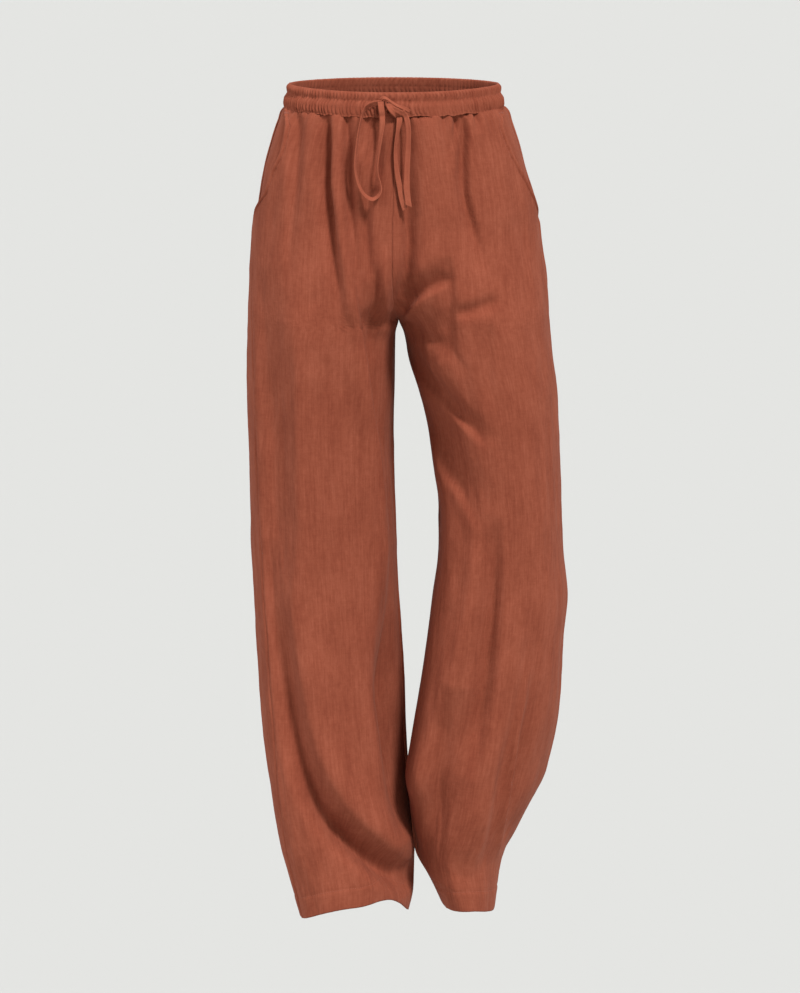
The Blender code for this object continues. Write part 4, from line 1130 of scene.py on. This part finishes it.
def make_shell(name, outer, thick, way, material, places):
    """A cloth shell: a grid of points, the same grid moved inward, and a border between.

    way is +1 or -1, so that the normals of the grid point outwards."""
    rows, columns = outer.shape[:2]
    normal = grid_normals(outer) * way
    lining = outer - normal * np.broadcast_to(thick, outer.shape[:2])[..., None]
    points = np.concatenate([outer.reshape(-1, 3), lining.reshape(-1, 3)])
    places = places.reshape(-1, 2)
    face = grid_faces(rows, columns)
    if way > 0:
        face = face[:, ::-1]
    back = face[:, ::-1] + rows * columns
    index = np.arange(rows * columns).reshape(rows, columns)
    rim = np.concatenate([index[0, :-1], index[:-1, -1], index[-1, :0:-1], index[:0:-1, 0]])
    after = np.roll(rim, -1)
    lining_start = rows * columns
    border = np.stack([rim, after, after + lining_start, rim + lining_start], axis=-1)
    if way < 0:
        border = border[:, ::-1]
    return make_mesh(name, points, np.concatenate([face, back, border]),
                     np.concatenate([places, places]), material)


def leg_middle(half, down):
    """x half way between the outer and the inner side of a leg."""
    return (column(LEVELS[half], "outer", down) + inner_side(half, down)) / 2


def panel_levels(half):
    """Rows of a panel, close together under the waistband and at the hem."""
    hem = HEMS[half].down
    ends = [BAND_HEIGHT - BAND_UNDERLAP, GATHERED_END, HIPS_END, hem - HEM_ROWS_HEIGHT, hem]
    return spaced(ends, PANEL_ROWS)


def make_leg_panel(half, face, material):
    """A front or back leg panel from under the waistband to the hem."""
    down = panel_levels(half)
    if face == "front":
        start, end = mouth_turn(half, down), last_turn(down)
    else:
        start, end = seam_turn(half, down), -last_turn(down)
        lap = SEAM_LAP * ramp(down, POCKET_END, SEAM_START)
        start = start + lap / arc_speed(half, start, down)
    share = np.linspace(0, 1, PANEL_COLUMNS)
    share = share - EDGE_CROWDING * np.sin(2 * math.pi * share) / (2 * math.pi)
    turn = start + share * (end - start)
    outer = leg_cloth(half, face, turn, down)
    doubled = ramp(down, HEMS[half].down - HEM_DEPTH - HEM_EDGE, 2 * HEM_EDGE)
    thick = CLOTH + (HEM_CLOTH - CLOTH) * doubled
    way = outward(half) * (1 if face == "front" else -1)
    places = cloth_places(section(half, turn, down), leg_middle(half, down))
    return make_shell(f"{face}_{half}_cloth", outer, thick, way, material, places)


def band_place(angle, drop, out):
    """Points of the waistband: a distance down from the rim and out from its ellipse."""
    forward = squared(np.sin(angle), FULLNESS)
    x = (BAND_HALF_WIDTH + out) * squared(np.cos(angle), FULLNESS)
    y = -(BAND_HALF_DEPTH + out) * forward
    return np.stack([x, y, rim_height(forward) - drop], axis=-1)


def band_wave(name, angle, drop):
    """Gathers of one face of the waistband, whose lines wander a little on their way down."""
    gathers = BAND_GATHERS[name]
    wander = gathers.wander * np.sin(drop / gathers.pace + gathers.phase)
    return gather_wave(angle + wander, gathers.count, gathers.seed)[0]


def make_waistband(material):
    """The gathered band as one closed ring: up its outer face, over the rim and down inside."""
    angle = np.linspace(0, 2 * math.pi, BAND_COLUMNS, endpoint=False)[None, :]
    drop = spaced(OUTSIDE_ENDS, OUTSIDE_ROWS)
    upper = band_wave("upper", angle, drop)
    lower = band_wave("lower", angle, drop)
    beside_knot = angle - math.pi / 2 + KNOT_CALM_TURN
    calm = 1 - KNOT_CALM * bell(beside_knot, KNOT_CALM_WIDTH)
    patches = soft_noise(angle * BAND_PATCHES, drop / BAND_PATCH_HEIGHT, BAND_SEED)
    uneven = 1 + BAND_UNEVEN * patches
    out = column(BAND_ROWS, "out", drop)
    out = out + column(BAND_ROWS, "upper", drop) * upper * uneven
    out = out + column(BAND_ROWS, "lower", drop) * lower * uneven * calm
    wander = sum(wave.strong * soft_noise(angle * wave.count, 0 * angle, wave.seed)
                 for wave in (BROAD_WAVES, SMALL_WAVES))
    outer = band_place(angle, drop + ramp(drop, BAND_EDGE_TOP, BAND_EDGE_RUN) * wander, out)
    share = np.array(RIM_SHARES)[:, None]
    swell = BAND_SWELL * np.sin(share * math.pi) + BAND_SWELL_GATHERED * upper[-1:]
    top = band_place(angle, -swell, out[-1:] * share - BAND_CLOTH * (1 - share))
    drop = spaced(INSIDE_ENDS, INSIDE_ROWS)
    in_channel = np.where(drop < CHANNEL_SEAM, drop / CHANNEL_SEAM,
                          (drop - CHANNEL_SEAM) / (BAND_HEIGHT - CHANNEL_SEAM))
    swell = np.abs(np.sin(in_channel * math.pi)) ** 0.5
    swell = LINING_AT_SEAM + (1 - LINING_AT_SEAM) * swell
    spread = LINING_SPREAD * ramp(drop, LINING_SPREAD_TOP, LINING_SPREAD_RUN)
    stands_in = LINING_GATHERS * band_wave("inside", angle, drop) * swell
    lining = band_place(angle, drop, spread - BAND_CLOTH - stands_in)
    points = np.concatenate([outer, top, lining])
    rows = len(points)
    around = np.broadcast_to(angle * BAND_RADIUS * BAND_LENGTH_TAKEN_UP, (rows, BAND_COLUMNS))
    run = run_along(points[:, 0])
    places = np.stack([around, np.broadcast_to(run[:, None], around.shape)], axis=-1)
    faces = grid_faces(rows, BAND_COLUMNS, closed_across=True, closed_along=True)
    return make_mesh("waistband_cloth", points.reshape(-1, 3), faces, places.reshape(-1, 2),
                     material)


def pocket_shell(name, half, turn, down, depth, thick, material):
    """A shell that lies a depth inside the smooth garment, for a pocket's facing or its bag."""
    outer = section(half, turn, down) - facing_out(half, turn, down) * depth[..., None]
    places = cloth_places(outer, outer[:, :1, 0])
    return make_shell(name, outer, thick, outward(half), material, places)


def make_pocket(half, material):
    """The facing strip outside the slant mouth, running on behind the front panel, and the bag
    over it, which turns in to meet the facing's far edge."""
    down = np.linspace(BAND_HEIGHT - FACING_UNDER_BAND, POCKET_BOTTOM, FACING_ROWS)[:, None]
    mouth = mouth_turn(half, down)
    seam = seam_turn(half, down)
    speed = arc_speed(half, mouth, down)
    outer_edge = seam - FACING_PAST_SEAM / speed
    inner_edge = mouth + POCKET_REACH / speed
    turn = outer_edge + np.linspace(0, 1, FACING_COLUMNS) * (inner_edge - outer_edge)
    from_mouth = (mouth - turn) * speed
    from_seam = (turn - seam) * speed
    under_front = eased(-from_mouth / FACING_UNDER_RUN)
    room = (ramp(down, BAG_OPENING_TOP, BAG_OPENING_RUN)
            * ramp(down, POCKET_BOTTOM, -BAG_OPENING_RUN) * POCKET_ROOM)
    shown = ramp(down, POCKET_END + FACING_SHOWN_PAST_END, -FACING_RISE_RUN)
    depth = (FACING_DEPTH - FACING_RISE * shown * eased(from_mouth / FACING_RISE_RUN)
             + FACING_AT_SEAM * bell(from_seam, FACING_PAST_SEAM) * shown)
    outside = ramp(from_mouth, -FACING_DIP_RUN, FACING_DIP_RUN)
    depth = depth + mouth_dip(half, from_seam, down) * outside
    depth = depth + (FACING_UNDER_FRONT + room) * under_front + FACING_HIDDEN_DEPTH * (1 - shown)
    patches = soft_noise(turn * FACING_PATCHES, down / FACING_PATCH_HEIGHT, POCKET_SEED)
    depth = depth + FACING_UNEVEN * patches
    depth = depth + sunk(half, turn, down) * under_front
    facing = pocket_shell(f"pocket_{half}_facing", half, turn, down, depth, CLOTH, material)
    turn = mouth + np.linspace(BAG_START, 1, BAG_COLUMNS) * (inner_edge - mouth)
    turned_in = np.sin(np.linspace(0, 1, BAG_COLUMNS) * math.pi / 2) ** BAG_SHARPNESS
    depth = BAG_DEPTH + sunk(half, turn, down) + turned_in * (BAG_TURN_IN + room)
    bag = pocket_shell(f"pocket_{half}_bag", half, turn, down, depth, CLOTH * BAG_CLOTH, material)
    return facing, bag


def ellipse_reach(share):
    """How far forward a rounded ellipse reaches, 1 at its middle and 0 at its side."""
    return (1 - share ** FULLNESS) ** (1 / FULLNESS)


def front_level(x, z):
    """y of the smooth front at places seen from the front, on the band or below it."""
    down = np.maximum(-z - RIM_FRONT_DIP, 0.0)
    bulge = np.interp(down, BULGE_DROPS, BULGE_OUT)
    share = np.minimum(np.abs(x) / (BAND_HALF_WIDTH + bulge), 1.0)
    band = -(BAND_HALF_DEPTH + bulge) * ellipse_reach(share)
    panel = np.zeros(x.shape)
    for half in ("right", "left"):
        outer = np.abs(column(LEVELS[half], "outer", down))
        front = column(LEVELS[half], "front", down)
        back = column(LEVELS[half], "back", down)
        share = np.minimum(np.abs(x) / outer, 1.0)
        level = (front + back) / 2 - (back - front) / 2 * ellipse_reach(share)
        panel = np.where((x >= 0) == (half == "left"), level, panel)
    return np.where(down < BAND_HEIGHT, band, panel)


def tie_frame(stations):
    """A tie's smooth path, and the directions of its width and of its thickness along it."""
    rough = np.array(stations, dtype=float)
    length = steps_along(rough[:, :2]).sum()
    count = max(round(length / TIE_STEP) + 1, TIE_LEAST_POINTS)
    x, down, lift, turn = [smooth_path(rough[:, k], count) for k in range(4)]
    path = np.stack([x, front_level(x, -down) - lift, -down], axis=-1)
    forward = unit(np.gradient(path, axis=0))
    across = unit(np.cross(forward, np.array([0.0, -1.0, 0.0])))
    face = np.cross(across, forward)
    lean = np.radians(turn)[:, None]
    wide = across * np.cos(lean) + face * np.sin(lean)
    thick = face * np.cos(lean) - across * np.sin(lean)
    return path, wide, thick


def tie_surface(stations, width, thickness, slant, seed):
    """Points, faces and UV places of a folded tie: a flat oval carried along its path, with a
    groove along its middle, soft dents, and a slanting cut end."""
    path, wide, thick = tie_frame(stations)
    count = len(path)
    around = np.linspace(0, 2 * math.pi, TIE_SIDES, endpoint=False)[None, :]
    flat = squared(np.cos(around), TIE_FULLNESS)
    deep = squared(np.sin(around), TIE_FULLNESS)
    along = np.arange(count)[:, None] * TIE_STEP
    uneven = 1 + TIE_UNEVEN * soft_noise(along / TIE_UNEVEN_LENGTH, 0 * along, seed)
    from_groove = (np.abs(flat) - TIE_GROOVE_HALF) / TIE_GROOVE_RUN
    groove = TIE_GROOVE + (1 - TIE_GROOVE) * eased(from_groove)
    dent = 1 + TIE_DENT * soft_noise(along / TIE_DENT_LENGTH, flat * 2 + 3, seed + 1)
    curl = TIE_CURL * soft_noise(along / TIE_CURL_LENGTH, 0 * along, seed + 2) * (flat ** 2)
    out = flat * width / 2 * uneven
    off = deep * thickness / 2 * groove * dent + curl
    points = path[:, None] + wide[:, None] * out[..., None] + thick[:, None] * off[..., None]
    forward = unit(np.gradient(path, axis=0))
    near_end = np.arange(count) - count + TIE_END_POINTS
    near_end = np.clip(near_end / (TIE_END_POINTS - 1), 0, 1)[:, None, None]
    points = points + forward[:, None] * (flat * slant)[..., None] * near_end
    rings = [points]
    for end in (0, -1):
        middle = points[end].mean(axis=0)
        cap = middle + (points[end] - middle) * TIE_CAP
        closed = middle + (cap - middle) * TIE_CAP_MIDDLE
        rings = [closed[None], cap[None], *rings] if end == 0 else [*rings, cap[None], closed[None]]
    rings = np.concatenate(rings)
    faces = grid_faces(len(rings), TIE_SIDES, closed_across=True)[:, ::-1]
    run = np.arange(len(rings))[:, None] * TIE_STEP
    places = np.stack(np.broadcast_arrays(flat * width / 2, run), axis=-1)
    return rings.reshape(-1, 3), faces, places.reshape(-1, 2)


def make_tie(name, stations, seed, material):
    """One strand of the drawstring."""
    slant = TIE_END_SLANTS[name]
    points, faces, places = tie_surface(stations, TIE_WIDTH, TIE_THICK, slant, seed)
    return make_mesh(f"{name}_tape", points, faces, places, material)


def make_knot(material):
    """The knot: a rounded core, the wrap round it, the strand that crosses it and the arch."""
    around = np.linspace(0, 2 * math.pi, KNOT_SIDES, endpoint=False)[None, :]
    polar = np.linspace(KNOT_POLE, math.pi - KNOT_POLE, KNOT_ROWS)[:, None]
    x_centre, down_centre = KNOT_CENTRE
    long_half, deep_half, tall_half = KNOT_HALF_SIZE
    waves = np.cos(KNOT_LUMPS_ROUND * around + KNOT_LUMPS_ALONG * polar)
    lumps = 1 + KNOT_LUMPS * waves * np.sin(polar)
    length = -long_half * np.cos(polar) + 0 * around
    out = deep_half * np.sin(polar) * np.cos(around) * lumps
    rise = tall_half * np.sin(polar) * np.sin(around) * lumps
    tilt = math.radians(KNOT_TILT)
    y_centre = front_level(np.array([x_centre]), np.array([-down_centre]))[0] - KNOT_LIFT
    core = np.stack([x_centre + length * math.cos(tilt) + rise * math.sin(tilt),
                     y_centre - out,
                     -down_centre - length * math.sin(tilt) + rise * math.cos(tilt)], axis=-1)
    core_places = np.broadcast_arrays(around * KNOT_ROUND_UV, polar * KNOT_ALONG_UV)
    core_places = np.stack(core_places, axis=-1)
    points = [core.reshape(-1, 3)]
    faces = [grid_faces(KNOT_ROWS, KNOT_SIDES, closed_across=True)]
    places = [core_places.reshape(-1, 2)]
    start = len(points[0])
    for name, strand in KNOT_STRANDS.items():
        strand_points, strand_faces, strand_places = tie_surface(
            strand, KNOT_WIDTHS[name], KNOT_THICK, 0.0, KNOT_SEED + len(name))
        points.append(strand_points)
        faces.append(strand_faces + start)
        places.append(strand_places)
        start += len(strand_points)
    return make_mesh("drawstring_knot_wraps", np.concatenate(points), np.concatenate(faces),
                     np.concatenate(places), material)


def stitch_row(name, line, normal, stitch, material):
    """A row of stitches along a line: short round threads that arch up out of the cloth and dip
    into it at both ends. Two quads close each end, whose ring has six points."""
    run = run_along(line)
    count = int(run[-1] / stitch.pitch)
    middle = (np.arange(count) + 0.5) * stitch.pitch
    rings = len(STITCH_TAPER)
    along = np.linspace(-0.5, 0.5, rings)
    at = middle[:, None] + along[None, :] * stitch.length
    place = np.stack([np.interp(at, run, line[:, k]) for k in range(3)], axis=-1)
    up = unit(np.stack([np.interp(at, run, normal[:, k]) for k in range(3)], axis=-1))
    side = np.cross(unit(np.gradient(place, axis=1)), up)
    arch = (1 - (2 * along) ** 2)[None, :, None]
    rise = (STITCH_LEAST + STITCH_ARCH * arch) * stitch.radius * 2
    centre = place + up * rise - up * stitch.radius
    angle = np.linspace(0, 2 * math.pi, STITCH_SIDES, endpoint=False)
    taper = np.array(STITCH_TAPER)[None, :, None, None] * stitch.radius
    ring = (side[:, :, None] * np.cos(angle)[None, None, :, None]
            + up[:, :, None] * np.sin(angle)[None, None, :, None]) * taper
    points = (centre[:, :, None] + ring).reshape(-1, 3)
    cap = np.array([[0, 1, 2, 3], [0, 3, 4, 5]])
    last = (rings - 1) * STITCH_SIDES
    parts = [grid_faces(rings, STITCH_SIDES, closed_across=True), cap, (cap + last)[:, ::-1]]
    starts = (np.arange(count) * rings * STITCH_SIDES)[:, None, None]
    faces = np.concatenate([(part[None] + starts).reshape(-1, 4) for part in parts])
    return make_mesh(name, points, faces, np.zeros((len(points), 2)), material)


def surface_line(half, face, turn, down):
    """A line on a leg panel's finished face, with its outward normals."""
    around = (leg_cloth(half, face, turn + STITCH_BESIDE_TURN, down)
              - leg_cloth(half, face, turn - STITCH_BESIDE_TURN, down))
    along = (leg_cloth(half, face, turn, down + STITCH_BESIDE_DOWN)
             - leg_cloth(half, face, turn, down - STITCH_BESIDE_DOWN))
    normal = unit(np.cross(around, along) * outward(half))
    return leg_cloth(half, face, turn, down), normal


def make_stitching(half, material):
    """Stitching of one half: round the hem, along the pocket mouth, and the bar tack on top."""
    pieces = []
    level = HEMS[half].down - HEM_DEPTH
    for face, way in (("front", 1), ("back", -1)):
        start = seam_turn(half, np.array(level)) + SEAM_CLEAR * way
        end = (last_turn(np.array(level)) - SEAM_CLEAR) * way
        turn = np.linspace(start, end, ROW_POINTS)
        line, normal = surface_line(half, face, turn, np.full(ROW_POINTS, level))
        name = f"hem_stitches_{face}_{half}"
        pieces.append(stitch_row(name, line, normal, HEM_STITCH, material))
    down = np.linspace(MOUTH_ROW_TOP, POCKET_END - MOUTH_ROW_CLEAR, MOUTH_ROW_POINTS)
    mouth = mouth_turn(half, down)
    turn = mouth + MOUTH_STITCH / arc_speed(half, mouth, down)
    line, normal = surface_line(half, "front", turn, down)
    pieces.append(stitch_row(f"mouth_stitches_{half}", line, normal, MOUTH_STITCHES, material))
    turns = np.arange(TACK_TURNS)
    down = TACK_LEVEL + TACK_HALF_HEIGHT * (-1.0) ** turns
    along = TACK_START + TACK_LENGTH * turns / TACK_TURNS
    turn = mouth_turn(half, down) + along / arc_speed(half, mouth[0], TACK_LEVEL)
    line, normal = surface_line(half, "front", turn, down)
    pieces.append(stitch_row(f"mouth_tack_{half}", line, normal, TACK_STITCH, material))
    return pieces


def link(tree, source, target):
    """Join an output to an input."""
    tree.links.new(source, target)


def set_inputs(node, values):
    """Set a node's own inputs by name."""
    for name, value in values.items():
        node.inputs[name].default_value = value


def new_material(name, finish):
    """A material with a finish on its shader, as the material, its node tree and its shader."""
    material = bpy.data.materials.new(name)
    material.use_nodes = True
    shader = material.node_tree.nodes["Principled BSDF"]
    set_inputs(shader, finish)
    return material, material.node_tree, shader


def maths(tree, operation, first, second):
    """A Math node whose inputs are sockets or numbers."""
    node = tree.nodes.new("ShaderNodeMath")
    node.operation = operation
    for socket, value in zip(node.inputs, (first, second)):
        if isinstance(value, (int, float)):
            socket.default_value = value
        else:
            link(tree, value, socket)
    return node.outputs[0]


def layer_pattern(tree, places, layer):
    """One layer of linen's pattern: noise whose grains are so many millimetres across and along
    the cloth, with its middle range spread from 0 to 1."""
    mapping = tree.nodes.new("ShaderNodeMapping")
    link(tree, places, mapping.inputs["Vector"])
    scale = (1 / (layer.across * MM), 1 / (layer.along * MM), 1)
    set_inputs(mapping, {"Location": (layer.place, layer.place * PLACE_ALONG, 0), "Scale": scale})
    noise = tree.nodes.new("ShaderNodeTexNoise")
    noise.noise_dimensions = "2D"
    set_inputs(noise, {"Scale": 1.0, "Detail": layer.detail, "Roughness": layer.rough})
    link(tree, mapping.outputs[0], noise.inputs["Vector"])
    spread = tree.nodes.new("ShaderNodeMapRange")
    set_inputs(spread, {"From Min": layer.low, "From Max": layer.high})
    link(tree, noise.outputs["Fac"], spread.inputs["Value"])
    return spread.outputs[0]


def threads(tree, places, pitch):
    """Over and under threads of a plain weave: a chessboard of soft bumps."""
    mapping = tree.nodes.new("ShaderNodeMapping")
    link(tree, places, mapping.inputs["Vector"])
    turns = math.pi / (pitch * MM)
    set_inputs(mapping, {"Scale": (turns, turns, 1)})
    apart = tree.nodes.new("ShaderNodeSeparateXYZ")
    link(tree, mapping.outputs[0], apart.inputs[0])
    wave_x = maths(tree, "SINE", apart.outputs[0], 0.0)
    wave_y = maths(tree, "SINE", apart.outputs[1], 0.0)
    return maths(tree, "MULTIPLY", wave_x, wave_y)


def linen(name, colours, pitch):
    """Plain woven linen: long slubs down the cloth, short ones across it, faint blotches, and a
    weave in the bump."""
    material, tree, shader = new_material(name, LINEN_FINISH)
    places = tree.nodes.new("ShaderNodeUVMap")
    places.uv_map = "UVMap"
    places = places.outputs[0]
    tone = 0.0
    height = maths(tree, "MULTIPLY", threads(tree, places, pitch), WEAVE_BUMP)
    for layer in LINEN_LAYERS.values():
        pattern = layer_pattern(tree, places, layer)
        tone = maths(tree, "ADD", tone, maths(tree, "MULTIPLY", pattern, layer.tone))
        if layer.bump:
            height = maths(tree, "ADD", height, maths(tree, "MULTIPLY", pattern, layer.bump))
    shades = tree.nodes.new("ShaderNodeValToRGB")
    elements = shades.color_ramp.elements
    elements.new(COLOUR_PLACES[1])
    for element, place, colour in zip(elements, COLOUR_PLACES, colours):
        element.position = place
        element.color = (*colour, 1.0)
    link(tree, tone, shades.inputs["Fac"])
    link(tree, shades.outputs["Color"], shader.inputs["Base Color"])
    bump = tree.nodes.new("ShaderNodeBump")
    set_inputs(bump, {"Strength": LINEN_BUMP, "Distance": MM})
    link(tree, height, bump.inputs["Height"])
    link(tree, bump.outputs[0], shader.inputs["Normal"])
    return material


def sewing_thread(name, colour):
    """Matt spun thread, with darker and lighter grains."""
    material, tree, shader = new_material(name, THREAD_FINISH)
    where = tree.nodes.new("ShaderNodeTexCoord")
    noise = tree.nodes.new("ShaderNodeTexNoise")
    set_inputs(noise, {"Scale": THREAD_GRAIN})
    link(tree, where.outputs["Object"], noise.inputs["Vector"])
    shades = tree.nodes.new("ShaderNodeValToRGB")
    for element, shade in zip(shades.color_ramp.elements, THREAD_SHADES):
        element.color = (*[part * shade for part in colour], 1.0)
    link(tree, noise.outputs["Fac"], shades.inputs["Fac"])
    link(tree, shades.outputs["Color"], shader.inputs["Base Color"])
    return material


def matt_paper(name, colour):
    """Plain matt paper for the floor."""
    finish = {"Base Color": (*colour, 1.0), "Roughness": 1.0, "Specular IOR Level": 0.0}
    return new_material(name, finish)[0]


def make_camera():
    """The photograph's view: a long lens, in front and a little above, looking down."""
    pitch = math.radians(CAMERA_PITCH)
    data = bpy.data.cameras.new("camera")
    data.lens = CAMERA_LENS
    data.sensor_width = CAMERA_SENSOR
    data.clip_end = CAMERA_FAR
    camera = place_object("camera", data)
    x, y, z = CAMERA_TARGET
    camera.location = (x, y - CAMERA_DISTANCE * math.cos(pitch),
                       z + CAMERA_DISTANCE * math.sin(pitch))
    camera.rotation_euler = (math.pi / 2 - pitch, 0.0, 0.0)
    bpy.context.scene.camera = camera


def make_studio():
    """A wide pale floor, an even sky and three soft lights that are far away."""
    half = FLOOR_HALF_SIZE
    mesh = bpy.data.meshes.new("floor")
    corners = [(-half, -half, FLOOR_LEVEL), (half, -half, FLOOR_LEVEL),
               (half, half, FLOOR_LEVEL), (-half, half, FLOOR_LEVEL)]
    mesh.from_pydata(corners, [], [(0, 1, 2, 3)])
    mesh.materials.append(matt_paper("pale_floor", FLOOR_COLOUR))
    place_object("floor", mesh)
    world = bpy.data.worlds.new("studio")
    bpy.context.scene.world = world
    world.use_nodes = True
    sky = {"Color": (*SKY_COLOUR, 1.0), "Strength": SKY_STRENGTH}
    set_inputs(world.node_tree.nodes["Background"], sky)
    for light in LIGHTS:
        data = bpy.data.lights.new(light.name, "SUN")
        data.energy = light.energy
        data.angle = math.radians(light.softness)
        lamp = place_object(light.name, data)
        lamp.rotation_euler = (math.radians(90 - light.height), 0.0, math.radians(light.turn))
    bpy.context.scene.view_settings.view_transform = "Standard"


def build():
    """Make every piece of the trousers and the studio."""
    make_camera()
    cloth = linen("rust_linen", CLOTH_COLOURS, CLOTH_PITCH)
    tape = linen("rust_linen_tape", TAPE_COLOURS, TAPE_PITCH)
    thread = sewing_thread("rust_thread", THREAD_COLOUR)
    knot = make_knot(tape)
    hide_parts("drawstring_knot")
    for number, (name, stations) in enumerate(TIES.items()):
        strand = make_tie(name, stations, TIE_SEED + number, tape)
        path = tie_frame(stations)[0]
        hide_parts(name)
    band = make_waistband(cloth)
    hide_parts("waistband")
    for half in ("right", "left"):
        for face in ("front", "back"):
            panel = make_leg_panel(half, face, cloth)
            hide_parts(f"{face}_{half}")
        for piece, cut in zip(make_pocket(half, cloth), (FACING_CUT, BAG_CUT)):
            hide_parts(f"pocket_{half}")
        for piece in make_stitching(half, thread):
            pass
    make_studio()


build()
